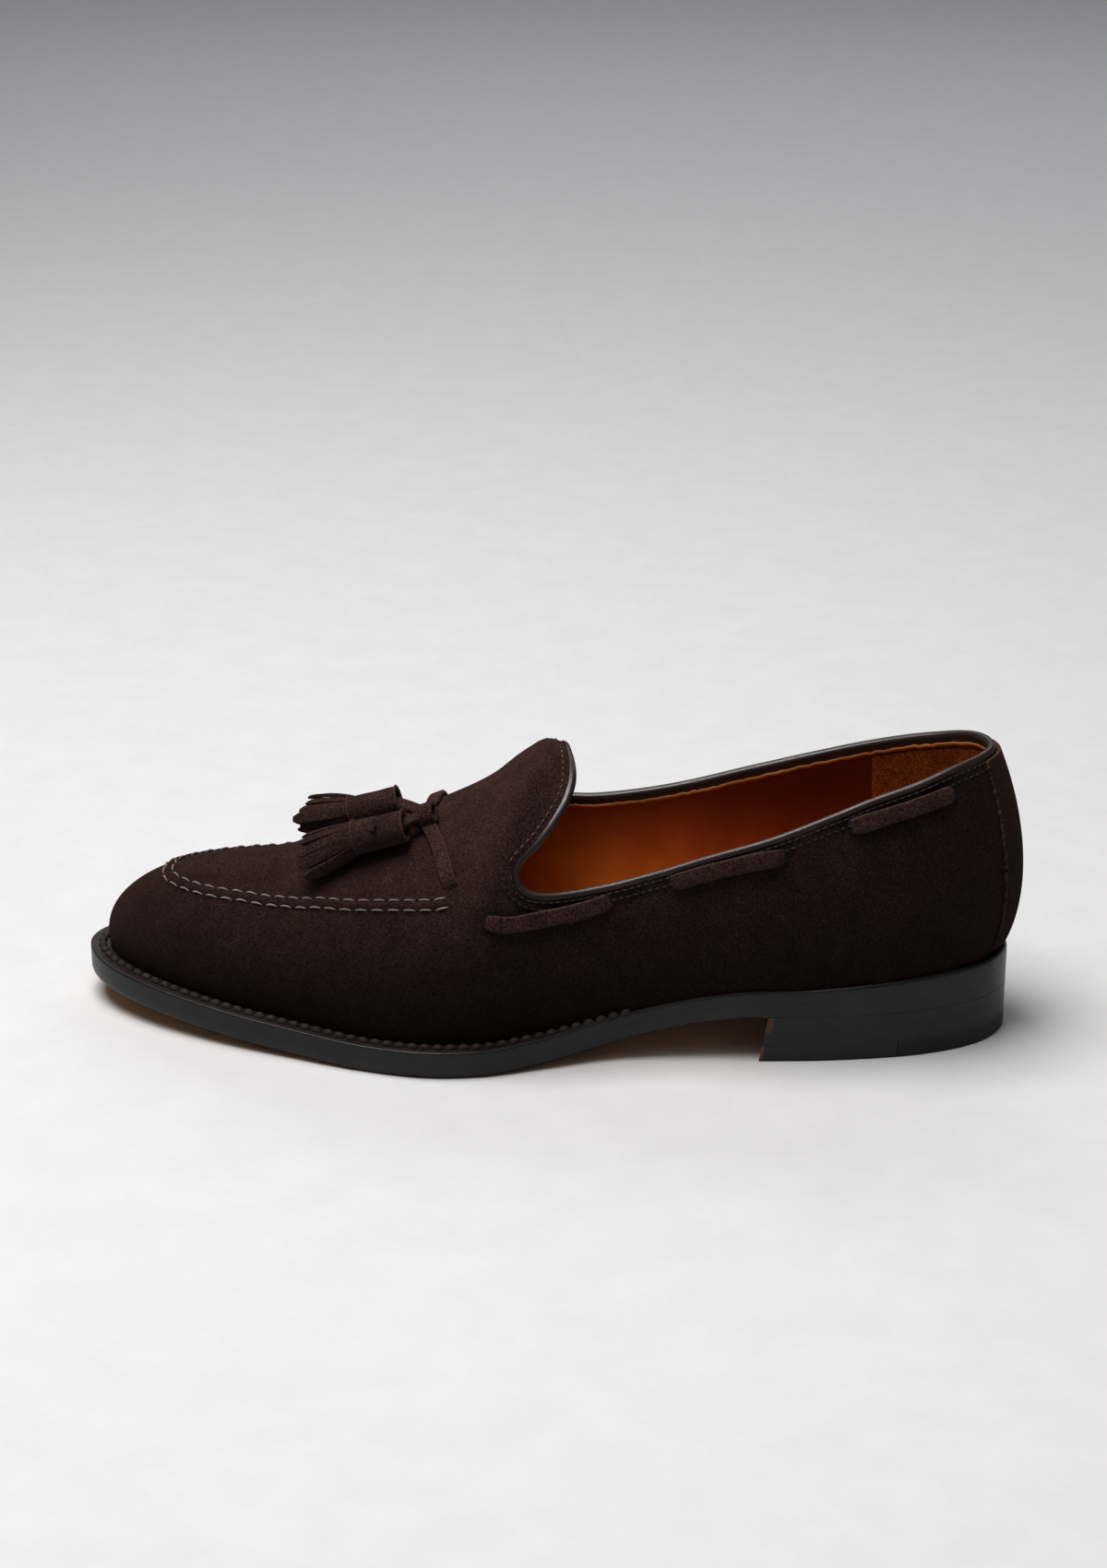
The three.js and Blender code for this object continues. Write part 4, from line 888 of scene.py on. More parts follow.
# %% [markdown]
# ## The suede upper
# The vamp covers the toe and runs up into the tongue, and the two quarters go round the heel. Six grids,
# three to a side, are laid on the last and merged along the ridge, the toe, the throat and the back. The
# suede is 1.2 mm thick, so a Solidify modifier gives it a wall on the inside.

# %% The suede upper
VAMP_COLUMNS, QUARTER_COLUMNS, LOW_ROWS, HIGH_ROWS = 116, 104, 46, 44


def grid_place(side, part):
    """For a part of the upper: the turn and climb at (u, v)."""
    share, low = CORNERS[side]

    def quarter(u, v):
        turn = turn_at(side, share + (1 - share) * u**1.35)
        ends, back = np.unique(turn, return_inverse=True)
        return turn, quarter_end(side, ends)[back] * v

    def vamp(u, v):
        split = TOE_CLIMB + (low - TOE_CLIMB) * u
        climb = split * v if part == "low" else np.minimum(split + (1 - split) * v**1.3, 1)
        return turn_at(side, vamp_end(side, climb) * u), climb

    return quarter if part == "quarter" else vamp


def upper_sheet(name, lift, density=1.0, relieved=True):
    """The whole upper as one sheet, lifted off the last by so many millimetres."""
    pieces = []
    for side in ("outer", "inner"):
        for part, columns, rows in (
            ("low", VAMP_COLUMNS, LOW_ROWS),
            ("high", VAMP_COLUMNS, HIGH_ROWS),
            ("quarter", QUARTER_COLUMNS, LOW_ROWS),
        ):
            where = grid_place(side, part)

            def point(u, v, where=where):
                turn, climb = where(u, v)
                base = last_point(turn, climb)
                out = last_normal(turn, climb)
                low = climb < 0.002
                out[low, 2] = 0
                out = unit(out)
                more = suede_relief(base) if relieved else 0.0
                more = more * np.clip(climb / 0.12, 0, 1)
                return base + out * (lift + more)[:, None]

            pieces.append(
                lay_grid(f"{name}_{side}_{part}", int(columns * density), int(rows * density), point)
            )
    return edited(joined(name, pieces), merge(0.02), face_out)


SUEDE_THICKNESS = 1.2
suede_upper = upper_sheet("suede_upper", 0.0)
with_modifier(suede_upper, "SOLIDIFY", thickness=SUEDE_THICKNESS * MM, offset=-1.0)
completed(suede_upper, "suede", ["upper"], 50, upper_suede)

# %% [markdown]
# ## The lining
# Inside, the shoe is lined with smooth tan calf. It is the same sheet laid the suede's thickness further
# in. The binding is folded over its upper edge.

# %% The lining
LINING_THICKNESS = 0.88
lining = upper_sheet("lining", -SUEDE_THICKNESS - 0.1, density=0.5, relieved=False)
with_modifier(lining, "SOLIDIFY", thickness=LINING_THICKNESS * MM, offset=-1.0)
completed(lining, "lining_leather", ["upper"], 50, lining_leather)

# %% [markdown]
# ## The binding
# A strip of smooth dark leather is folded over the rim and stitched down, so from outside it shows as a
# round shiny bead, and inside as a flat band. It is a section swept along the rim, all the way round the
# opening. Under the band the raw edge of the lining shows, a thin pale line cut by hand, so it is a
# little uneven.


# %% The rim as a path
RIM_STEPS = 150


def rim_path(count=RIM_STEPS):
    """The rim as a loop: round the quarters and over the tongue, with the outward directions there."""
    turns, climbs = [], []

    def add(side, turn, climb):
        turns.append(turn)
        climbs.append(climb)

    f = np.linspace(0, 1, count)
    for side, back in (("outer", False), ("inner", True)):
        share = CORNERS[side][0]
        turn = turn_at(side, share + (1 - share) * f**1.35)
        climb = quarter_end(side, turn)
        order = slice(None, None, -1) if back else slice(None)
        cut = slice(1, None) if back else slice(None)
        add(side, turn[order][cut], climb[order][cut])
    f = np.linspace(0, 1, count // 2)
    for side, back in (("inner", False), ("outer", True)):
        low = CORNERS[side][1]
        climb = np.minimum(low + (1 - low) * f**1.3, 1)
        turn = turn_at(side, vamp_end(side, climb))
        order = slice(None, None, -1) if back else slice(None)
        add(side, turn[order][1:], climb[order][1:])
    turn, climb = np.concatenate(turns)[:-1], np.concatenate(climbs)[:-1]
    points, outs = last_point(turn, climb), last_normal(turn, climb)
    for passes, line in ((3, points), (14, outs)):
        for _ in range(passes):
            line[:] = (np.roll(line, 1, 0) + 2 * line + np.roll(line, -1, 0)) / 4
    return points, unit(outs)


rim, rim_out = rim_path()
BINDING_SECTION = np.array(
    [
        (0.3, -0.3), (0.36, 0.2), (0.32, 0.75), (0.12, 1.25), (-0.2, 1.55), (-0.65, 1.72), (-1.15, 1.75),
        (-1.65, 1.64), (-2.1, 1.35), (-2.4, 0.8), (-2.55, 0.1), (-2.62, -0.9), (-2.62, -1.5), (-2.55, -1.75),
        (-2.3, -1.75), (-2.22, -1.5), (-2.22, 0.1), (-1.6, 0.3), (-0.4, 0.3), (0.05, 0.15), (0.05, -0.3),
    ]
)
binding = swept("binding", rim, rim_out, BINDING_SECTION[:, ::-1], closed=True)
completed(binding, "binding_leather", ["topline_binding"], 60, binding_leather)
print("rim", round(run_length(rim)[-1]), "mm")

# %% The raw edge of the lining
BAND_INSET, BAND_REACH = 2.62, 1.95
rim_up = frames_along(rim, rim_out, closed=True)[2]
ragged = np.random.default_rng(5).normal(0, 0.14, len(rim))
raw_line = rim - rim_out * BAND_INSET - rim_up * (BAND_REACH + ragged)[:, None]
EDGE_SECTION = np.array(
    [(0.55, 0.1), (0.5, 0.26), (0, 0.32), (-0.5, 0.22), (-0.6, 0), (-0.5, -0.25), (0.5, -0.25)]
)
lining_edge = swept("lining_edge", raw_line, -rim_out, EDGE_SECTION, closed=True)
completed(lining_edge, "lining_leather", ["upper"], 60, raw_edge)

# %% [markdown]
# ## The heel grip
# Round the inside of the heel sits a patch of rough leather, flesh side out, that keeps the foot from
# slipping. It is one more sheet, laid against the lining from side to side round the back.

# %% The heel grip
GRIP_ALONG = 43.0
GRIP_FOOT, GRIP_REACH = 0.1, 0.94


def grip_point(u, v):
    outer = turn_along("outer", GRIP_ALONG)
    inner = turn_along("inner", GRIP_ALONG) - 1
    turn = inner + (outer - inner) * u
    end = np.where(turn > HEEL_TURN, quarter_end("outer", turn), quarter_end("inner", turn))
    climb = GRIP_FOOT + (end * GRIP_REACH - GRIP_FOOT) * v
    uneven = 0.06 * np.sin(turn * 900) * np.sin(climb * 40)
    return on_last(turn, climb, -UPPER_WALL - 0.12 + uneven)


heel_grip = lay_grid("heel_grip", 90, 60, grip_point)
edited(heel_grip, face_out)
with_modifier(heel_grip, "SOLIDIFY", thickness=0.5 * MM, offset=0.0)
with_modifier(heel_grip, "BEVEL", width=0.18 * MM, segments=2, limit_method="ANGLE")
completed(heel_grip, "lining_leather", ["upper"], 50, grip_suede)

# %% [markdown]
# ## Stitches
# A stitch is a short arch of thread between two holes. It is modelled once, as a small sphere pulled long
# and bent down at its ends, and copied along a seam at an even pitch. A hole is a flat near-black bead
# between two stitches, painted shade for the opening.


# %% A stitch and its copies
def thread_arch(name, length, thickness, arch):
    """One stitch, lying along x with its ends bent down."""
    bpy.ops.object.select_all(action="DESELECT")
    bpy.ops.mesh.primitive_uv_sphere_add(segments=8, ring_count=6, radius=0.5)
    stitch = bpy.context.object
    stitch.name = name
    bpy.ops.object.mode_set(mode="EDIT")
    bpy.ops.mesh.select_all(action="SELECT")
    bpy.ops.transform.rotate(value=math.pi / 2, orient_axis="Y", center_override=(0, 0, 0))
    bpy.ops.object.mode_set(mode="OBJECT")
    for vertex in stitch.data.vertices:
        f = vertex.co.x * 2
        full = (max(1 - abs(f) ** 3, 0.0) / max(1 - f * f, 0.04)) ** 0.5
        vertex.co.y *= thickness * full
        vertex.co.z = vertex.co.z * thickness * full - arch * f * f
        vertex.co.x *= length
    return stitch


def copied_along(name, model, spots, outs, aheads, size=None):
    """A copy of the model at each spot, with its own mesh, all joined to one piece."""
    copies = []
    for i, (spot, out, front) in enumerate(zip(spots, outs, aheads)):
        one = model.copy()
        one.data = model.data.copy()
        bpy.context.collection.objects.link(one)
        side = np.cross(out, front)
        middle = placed(spot)
        turned = [(-a[0], -a[1], a[2]) for a in (front, side, out)]
        matrix = Matrix([[turned[c][r] * MM for c in range(3)] for r in range(3)]).to_4x4()
        matrix = Matrix.Translation(Vector(middle)) @ matrix
        if size is not None:
            matrix = matrix @ Matrix.Diagonal((*size[i], 1))
        one.data.transform(matrix)
        copies.append(one)
    bpy.data.objects.remove(model)
    return smoothed(joined(name, copies), 80)


def seam_stitches(name, points, outs, pitch, material, slot, length, thickness, arch, lift):
    """A row of stitches along a line: so long, so thick, bent down by the arch and lifted off the line."""
    spots, out, front = even_steps(points + outs * lift, outs, pitch)
    row = copied_along(name, thread_arch(name, length, thickness, arch), spots, out, front)
    dress(row, material)
    return belongs(row, slot)


def seam_holes(name, points, outs, pitch, wide, lift):
    """The holes between the stitches of a row with the same pitch, as near-black beads of painted shade."""
    spots, out, front = even_steps(points + outs * lift, outs, pitch)
    middles = (spots[1:] + spots[:-1]) / 2
    holes = copied_along(name, thread_arch(name, wide, wide, 0.0), middles, out[1:], front[1:],
                         np.tile((1.0, 1.0, 0.45), (len(middles), 1)))
    dress(holes, painted_hole_shade)
    return belongs(holes, "suede")


# %% [markdown]
# ## The apron's seam
# The plug of a moccasin vamp is outlined by a raised seam: the suede is pinched up between two rows of
# pale thread, so that it puffs between the holes. The band is swept along the seam's line, and its height
# swells and sinks with the pitch of the stitches. It replaces the plain band of the solids.

# %% The apron's seam
SEAM_PITCH = 5.2
SEAM_HALF = 1.65
SEAM_FOOT = (2.4, -0.6)


def apron_path(count=700, to=0.411, aside=0.0):
    """The seam's line from the outer side round the toe to the inner side, or a line beside it."""
    share = np.linspace(-to, to, count)
    turn = np.where(share < 0, turn_at("outer", np.abs(share)), turn_at("inner", np.abs(share)))
    climb = rows_at(APRON, "climb", np.abs(share), "share")
    points, outs = last_point(turn, climb), last_normal(turn, climb)
    for _ in range(6):
        points[1:-1] = (points[:-2] + 2 * points[1:-1] + points[2:]) / 4
    across = frames_along(points, outs)[2]
    return points + across * aside, outs


apron_line, apron_out = apron_path()
seam_run = run_length(apron_line)
stitch_count = int(seam_run[-1] / SEAM_PITCH)
phase = np.abs(np.sin(np.pi * seam_run / seam_run[-1] * stitch_count)) ** 0.6
ends = np.clip(np.minimum(seam_run, seam_run[-1] - seam_run) / 3.0, 0, 1) ** 0.5
SEAM_ACROSS = np.array([-3.0, -2.4, -1.65, -1.25, -0.7, 0, 0.7, 1.25, 1.65, 2.4, 3.0])
SEAM_HEIGHT = np.array([-0.25, 0.22, 0.16, 0.68, 0.98, 1.08, 0.98, 0.68, 0.16, 0.22, -0.25])
SEAM_PUFF = np.array([0.0, 0.0, 0.25, 0.3, 0.3, 0.25, 0.3, 0.3, 0.25, 0.0, 0.0])
seam_section = np.empty((len(SEAM_ACROSS) + 2, len(apron_line), 2))
for k, (side, height, puff) in enumerate(zip(SEAM_ACROSS, SEAM_HEIGHT, SEAM_PUFF)):
    seam_section[k, :, 0] = side * (0.6 + 0.4 * ends)
    seam_section[k, :, 1] = (height - puff * (1 - phase)) * ends - 0.3 * (1 - ends)
seam_section[-2] = SEAM_FOOT
seam_section[-1] = -SEAM_FOOT[0], SEAM_FOOT[1]
apron_band = swept("apron_band", apron_line, apron_out, seam_section)
completed(apron_band, "suede", ["apron_seam"], 70, upper_suede)

for name, aside in (("outer", SEAM_HALF), ("inner", -SEAM_HALF)):
    line, out = apron_path(aside=aside)
    pitch = run_length(line)[-1] / stitch_count
    seam_stitches(f"apron_thread_{name}", line, out, pitch, pale_thread, "suede",
                  length=pitch * 0.84, thickness=0.66, arch=0.9, lift=0.85)
    seam_holes(f"apron_holes_{name}", line, out, pitch, wide=1.3, lift=0.25)
print("apron seam", round(seam_run[-1]), "mm,", stitch_count, "stitches a row")

# %% [markdown]
# ## The stitching under the binding
# Two close rows of dark thread hold the binding and the lining to the suede, a little more than one and
# three millimetres under the rim. On the tongue one row is enough. Over the ridge it is drawn down into
# the suede.


# %% Rows below the rim
def below_rim(first, last, down, lift=0.1):
    """A line on the suede so far down from the rim, between two places on the loop."""
    start, stop = int(len(rim) * first), int(len(rim) * last)
    return (rim - rim_up * down + rim_out * lift)[start:stop], rim_out[start:stop]


COLLAR_ROWS, TONGUE_ROW = (1.3, 3.5), 2.3
COLLAR_PITCH, TONGUE_PITCH = 2.3, 2.6
QUARTER_SHARE = (2 * RIM_STEPS - 1) / len(rim)
for i, down in enumerate(COLLAR_ROWS):
    line, out = below_rim(0.004, QUARTER_SHARE - 0.006, down)
    seam_stitches(f"collar_thread_{i + 1}", line, out, COLLAR_PITCH, dark_thread, "binding_leather",
                  length=1.7, thickness=0.62, arch=0.3, lift=0.3)
    seam_holes(f"collar_holes_{i + 1}", line, out, COLLAR_PITCH, wide=0.9, lift=0.2)

# %% The row on the tongue
RIDGE_DIP, RIDGE_REACH = 1.4, 4.5
line, out = below_rim(QUARTER_SHARE + 0.01, 0.99, TONGUE_ROW)
run = run_length(line)
from_ridge = run - run[line[:, 2].argmax()]
line -= out * RIDGE_DIP * np.exp(-((from_ridge / RIDGE_REACH) ** 2))[:, None]
seam_stitches("tongue_thread", line, out, TONGUE_PITCH, tan_thread, "binding_leather",
              length=1.7, thickness=0.5, arch=0.25, lift=0.22)

# %% [markdown]
# ## The back strip
# A strip of suede covers the seam at the back. It lies on the quarters, its cut edges a little rough, and
# a row of dark stitches runs down each side of it.

# %% The back strip
STRIP_HALF = 13.5
STRIP_ROW_INSET, STRIP_PITCH = 1.8, 2.6
rng = np.random.default_rng(3)
strip_ripple = np.interp(np.linspace(0, 1, 400), np.linspace(0, 1, 80), rng.normal(0, 0.28, 80))


def strip_place(across, v):
    """A place on the back strip: across in millimetres from its middle, and v from the welt to the rim."""
    turn = HEEL_TURN - across / EDGE_LENGTH
    end = np.where(turn > HEEL_TURN, quarter_end("outer", turn), quarter_end("inner", turn))
    return turn, 0.03 + (end - 0.03) * v


def strip_point(u, v):
    across = (u * 2 - 1) * STRIP_HALF
    ragged = np.interp(v, np.linspace(0, 1, 400), strip_ripple)
    across = across + np.where(np.abs(u - 0.5) > 0.48, ragged, 0) * np.sign(u - 0.5)
    turn, climb = strip_place(across, v * 0.985)
    return on_last(turn, climb, 0.12)


back_strip = lay_grid("back_strip_suede", 36, 130, strip_point)
edited(back_strip, face_out)
dress(back_strip, upper_suede, cut_edge)
with_modifier(back_strip, "SOLIDIFY", thickness=1.25 * MM, offset=1.0, material_offset_rim=1)
with_modifier(back_strip, "BEVEL", width=0.3 * MM, segments=2, limit_method="ANGLE")
smoothed(back_strip)
belongs(back_strip, "suede", "back_strip")
STRIP_ROW = STRIP_HALF - STRIP_ROW_INSET
for name, across in (("outer", -STRIP_ROW), ("inner", STRIP_ROW)):
    turn, climb = strip_place(np.full(90, across), np.linspace(0.01, 0.95, 90))
    line, out = on_last(turn, climb, np.full(90, 1.2)), last_normal(turn, climb)
    seam_stitches(f"strip_thread_{name}", line, out, STRIP_PITCH, dark_thread, "suede",
                  length=2.0, thickness=0.5, arch=0.2, lift=0.05)

# %% [markdown]
# ## The lace round the sides
# A flat suede lace runs round the shoe under the topline. It goes in and out through slits, so three
# lengths of it show on each side. Each length rises out of a dark slit, lies on the quarter with rounded
# edges and sinks into the next slit. The strap's path is the last itself, lifted, and it dips under the
# suede at both ends.

# %% The lace: measures and section
LACE_WIDTH = 5.2
LACE_THICKNESS = 2.0


def flat_section(width, thickness, corner=0.5, count=5):
    """A flat strip in section with rounded edges, as across and out."""
    ring = []
    for cx, cz, first in ((1, 1, 0), (-1, 1, 90), (-1, -1, 180), (1, -1, 270)):
        for step in range(count):
            angle = math.radians(first + 90 * step / (count - 1))
            ring.append(
                (
                    cx * (width / 2 - corner) + corner * math.cos(angle),
                    cz * (thickness / 2 - corner) + corner * math.sin(angle),
                )
            )
    return np.array(ring)


def dipping(run, reach, depth):
    """How far a strap sinks near its two ends."""
    near = np.clip(np.minimum(run, run[-1] - run) / reach, 0, 1)
    return -depth * (1 - near) ** 2.2


def wavering(count, size, seed):
    """A slow uneven wave along a strap, so that its edges aren't ruled lines."""
    rough = np.random.default_rng(seed).normal(0, 1, max(count // 6, 4))
    return np.interp(np.linspace(0, 1, count), np.linspace(0, 1, len(rough)), rough) * size


def slit(name, spot, out, across, length, wide):
    """A slit in the suede where a lace goes in: a near-black bead of painted shade."""
    mouth = copied_along(name, thread_arch(name, length, 1.0, 0.0), [spot + out * 0.3], [out], [across],
                         [(1.0, wide, 0.5)])
    dress(mouth, painted_hole_shade)
    return belongs(mouth, "suede")


def pale_sides(piece, points, across, least=0.75):
    """The second finish for the narrow sides of a strap, where the cut edge of the leather shows paler."""
    near = ((face_values(piece, "center")[:, None] - placed(points)[None]) ** 2).sum(-1).argmin(1)
    sideways = np.abs((face_values(piece, "normal") * (across * (-1, -1, 1))[near]).sum(1))
    second_finish(piece, sideways > least)


# %% The lace on both sides
for side, name in (("outer", "lateral"), ("inner", "medial")):
    for i, ((from_share, from_climb), (to_share, to_climb)) in enumerate(LACE_RUNS):
        f = np.linspace(-0.03, 1.03, 60)
        turn = turn_at(side, from_share + (to_share - from_share) * f)
        climb = from_climb + (to_climb - from_climb) * f
        points, outs = last_point(turn, climb), last_normal(turn, climb)
        run = run_length(points)
        rise = LACE_THICKNESS / 2 + 0.5 + dipping(run, 4.5, 2.5) + wavering(60, 0.1, i)
        size = 1 + wavering(60, 0.035, i + 9)
        size = size * (1 - 0.42 * (1 - np.clip(np.minimum(run, run[-1] - run) / 3.2, 0, 1)) ** 2)
        section = flat_section(LACE_WIDTH, LACE_THICKNESS, 0.75)
        lace = swept(f"lace_{name}_{i + 1}_suede", points + outs * rise[:, None], outs, section, scale=size)
        smoothed(lace, 60)
        across = frames_along(points, outs)[2]
        dress(lace, lace_suede, cut_edge)
        pale_sides(lace, points, across)
        belongs(lace, "lace_suede", f"lace_{name}_{i + 1}")
        for end in (1, -2):
            where = "front" if end == 1 else "back"
            slit(f"slit_{name}_{i + 1}_{where}", points[end], outs[end], across[end], LACE_WIDTH * 1.15, 2.4)

# %% [markdown]
# ## The knot
# On the vamp the lace comes up through a slit on each side. The two ends are knotted over the ridge and
# each carries a tassel. The strands lie flat on the vamp, and a short turn of the same lace is wound
# round where they meet.

# %% The strands on the vamp
KNOT_SHARE, KNOT_CLIMB = 0.375, 0.845
STRANDS = (
    ("outer", "lateral", (0.409, 0.505), (0.374, 0.83)),
    ("inner", "medial", (0.392, 0.51), (0.3625, 1.12)),
)
for side, name, (slit_share, slit_climb), (end_share, end_climb) in STRANDS:
    f = np.linspace(-0.02, 1, 60)
    share = slit_share + (end_share - slit_share) * f
    climb = slit_climb + (end_climb - slit_climb) * f
    over = climb > 1
    other = "inner" if side == "outer" else "outer"
    turn = np.where(over, turn_at(other, share), turn_at(side, share))
    climb = np.where(over, 2 - climb, climb)
    points, outs = last_point(turn, climb), last_normal(turn, climb)
    for _ in range(12):
        outs[1:-1] = unit(outs[:-2] + outs[1:-1] + outs[2:])
    run = run_length(points)
    rise = 1.1 - 2.4 * (1 - np.clip(run / 4, 0, 1)) ** 2 + 1.6 * np.clip((run - run[-1] + 9) / 9, 0, 1) ** 2
    section = flat_section(LACE_WIDTH * 0.87, 1.75, 0.6)
    strand = swept(f"strand_{name}_suede", points + outs * rise[:, None], outs, section)
    smoothed(strand, 60)
    across = frames_along(points, outs)[2]
    dress(strand, lace_suede, cut_edge)
    pale_sides(strand, points, across)
    belongs(strand, "lace_suede", f"strand_{name}")
    slit(f"slit_vamp_{name}", points[1], outs[1], across[1], LACE_WIDTH * 0.6, 0.45)

# %% [markdown]
# ## The tassels' places
# The places of the tassels are those of the solids: the back of the cap, its mouth and the tip of the
# fringe, each a little above the vamp.

# %% The tassels' places
TASSEL_WIDTH = 13.0
TASSEL_HEIGHT = 11.0
KNOT_HEIGHT = 6.0
# The back of the cap, its mouth and the fringe's tip: side, share, climb and lift in cap heights.
TASSELS = {
    "lateral": [("outer", 0.364, 0.787, 0.545), ("outer", 0.32, 0.776, 0.59), ("outer", 0.266, 0.756, 0.42)],
    "medial": [("outer", 0.351, 0.935, 0.655), ("outer", 0.306, 0.922, 0.655), ("inner", 0.25, 0.985, 0.84)],
}


def tassel_places(name):
    rows = TASSELS[name]
    spots = []
    for side, share, climb, lift in rows:
        turn = turn_at(side, np.array([share]))
        climb = np.array([climb])
        spots.append(on_last(turn, climb, np.array([lift * TASSEL_HEIGHT + GAP]))[0])
    out = last_normal(turn_at(rows[0][0], np.array([rows[0][1]])), np.array([rows[0][2]]))[0]
    return spots, out


knot_turn = turn_at("outer", np.array([KNOT_SHARE]))
knot_out = last_normal(knot_turn, np.array([KNOT_CLIMB]))[0]
knot_middle = last_point(knot_turn, np.array([KNOT_CLIMB]))[0] + knot_out * (GAP + KNOT_HEIGHT * 0.62)

# %% The turn of lace round the knot
angle = np.linspace(0, 2 * math.pi, 48, endpoint=False)
knot_across = unit(np.cross(knot_out, np.array([1.0, 0, 0])))
ring_out = np.cos(angle)[:, None] * knot_across + np.sin(angle)[:, None] * knot_out
half_wide, half_high = 3.4, 2.3
ring = knot_middle + np.cos(angle)[:, None] * knot_across * half_wide
ring = ring + np.sin(angle)[:, None] * knot_out * half_high
knot_turn_piece = swept("knot_turn", ring, ring_out, flat_section(5.4, 1.7, 0.6), closed=True)
completed(knot_turn_piece, "lace_suede", ["knot"], 60, lace_suede)

# %% [markdown]
# ## The tassels
# A tassel is one piece of suede. Its lower part is cut into a fringe, and the uncut part is rolled up
# round the end of the lace, so that the cap shows the edge of the roll. The cap is a spiral section swept
# along its length. The strips of the fringe are modelled one by one, thin and flat, and spread a little
# from the mouth of the cap.


# %% Caps: helpers
def tassel_frame(start, end, out):
    """Three directions for a tassel: along it, across it and up."""
    front = unit(end - start)
    across = unit(np.cross(out, front))
    return front, across, np.cross(front, across)


def roll_section(width, height, wall, turns=1.16, count=44, first=-2.2):
    """A rolled strip in section: a spiral out along its outside and back along its inside."""
    angle = first + np.linspace(0, 2 * math.pi * turns, count)
    shrink = 1 - 0.27 * np.clip((angle - angle[0]) / (angle[-1] - angle[0]), 0, 1) ** 1.6

    def at(less):
        return np.stack(
            [np.cos(angle) * (width / 2 * shrink - less), np.sin(angle) * (height / 2 * shrink - less)], -1
        )

    return np.concatenate([at(0.0), at(wall)[::-1]])


# %% The tie through the near cap
def tie_through(back, length, front, across, lifted):
    """A crossed turn of lace in a dark slit, half way along the cap, on the side that is seen."""
    seen = unit(np.array([0.0, 1.0, 0.85]))
    seen = unit(seen - front * (seen * front).sum())
    radius = 1 / math.hypot((seen @ across) / (TASSEL_WIDTH / 2), (seen @ lifted) / (TASSEL_HEIGHT / 2))
    middle = back + front * length * 0.53 + seen * radius * 0.96
    side = np.cross(seen, front)
    spots = [middle, middle + side * 0.9 + front * 0.8]
    ahead = [unit(front + side * 0.6), unit(side - front * 0.5)]
    tie = copied_along("tie", thread_arch("tie_model", 2.6, 1.5, 0.4), spots, [seen, seen], ahead)
    dress(tie, lace_suede)
    belongs(tie, "tassel_suede")
    # The slit is a near-black bead of painted shade.
    gap = copied_along("tie_slit", thread_arch("slit_model", 5.2, 2.6, 0.0), [middle - seen * 0.15],
                       [seen], [unit(side + front * 0.25)], [(1.0, 0.7, 0.35)])
    dress(gap, painted_hole_shade)
    belongs(gap, "tassel_suede")


# %% The caps and stems of both tassels
for name in ("lateral", "medial"):
    (back, mouth, _), out = tassel_places(name)
    front, across, lifted = tassel_frame(back, mouth, out)
    length = np.linalg.norm(mouth - back)
    f = np.linspace(0, 1, 26)
    line = back + front * (f * length)[:, None]
    girth = 0.93 + 0.07 * f - 0.05 * np.exp(-(f / 0.06) ** 2) + 0.012 * np.sin(f * 9 + 1)
    roll = roll_section(TASSEL_WIDTH, TASSEL_HEIGHT, 1.25)
    cap = swept(f"cap_{name}", line, np.tile(lifted, (len(line), 1)), roll, scale=girth)
    completed(cap, "tassel_suede", [f"tassel_cap_{name}"], 40, tassel_suede)
    for place, at, girth_there, thick in (("back", 0.15, 0.87, 0.3), ("mouth", length - 0.1, 0.97, 0.26)):
        around = np.linspace(0, 2 * math.pi, 40, endpoint=False)
        oval = np.cos(around)[:, None] * across * (TASSEL_WIDTH / 2 * girth_there - 0.5)
        oval = oval + np.sin(around)[:, None] * lifted * (TASSEL_HEIGHT / 2 * girth_there - 0.5)
        cut = flat_section(0.5, 1.3, 0.2, 3) * (thick / 0.3)
        lip = swept(f"lip_{name}_{place}", back + front * at + oval, unit(oval), cut, closed=True)
        completed(lip, "tassel_suede", [], 60, cut_edge)

    if name == "lateral":
        tie_through(back, length, front, across, lifted)
    end = back + front * 2.0
    bend = (knot_middle + end) / 2 + lifted * 0.7
    f = np.linspace(0, 1, 24)[:, None]
    stem_line = (1 - f) ** 2 * knot_middle + 2 * (1 - f) * f * bend + f * f * end
    stem = swept(f"stem_{name}_suede", stem_line, np.tile(lifted, (24, 1)), flat_section(4.4, 2.0, 0.7))
    completed(stem, "lace_suede", [f"stem_{name}"], 60, lace_suede)


# %% The fringe
def strip_of_fringe(name, start, aim, out, width, thick, bow):
    """One strip: from its start inside the cap to its aim, flat side out, with a slight bow."""
    f = np.linspace(0, 1, 12)[:, None]
    middle = (start + aim) / 2 + bow
    line = (1 - f) ** 2 * start + 2 * (1 - f) * f * middle + f * f * aim
    return swept(name, line, np.tile(out, (12, 1)), flat_section(width, thick, 0.28, 3),
                 scale=(1 + 0.1 * f[:, 0] ** 2) * np.where(f[:, 0] > 0.99, 0.5, 1))


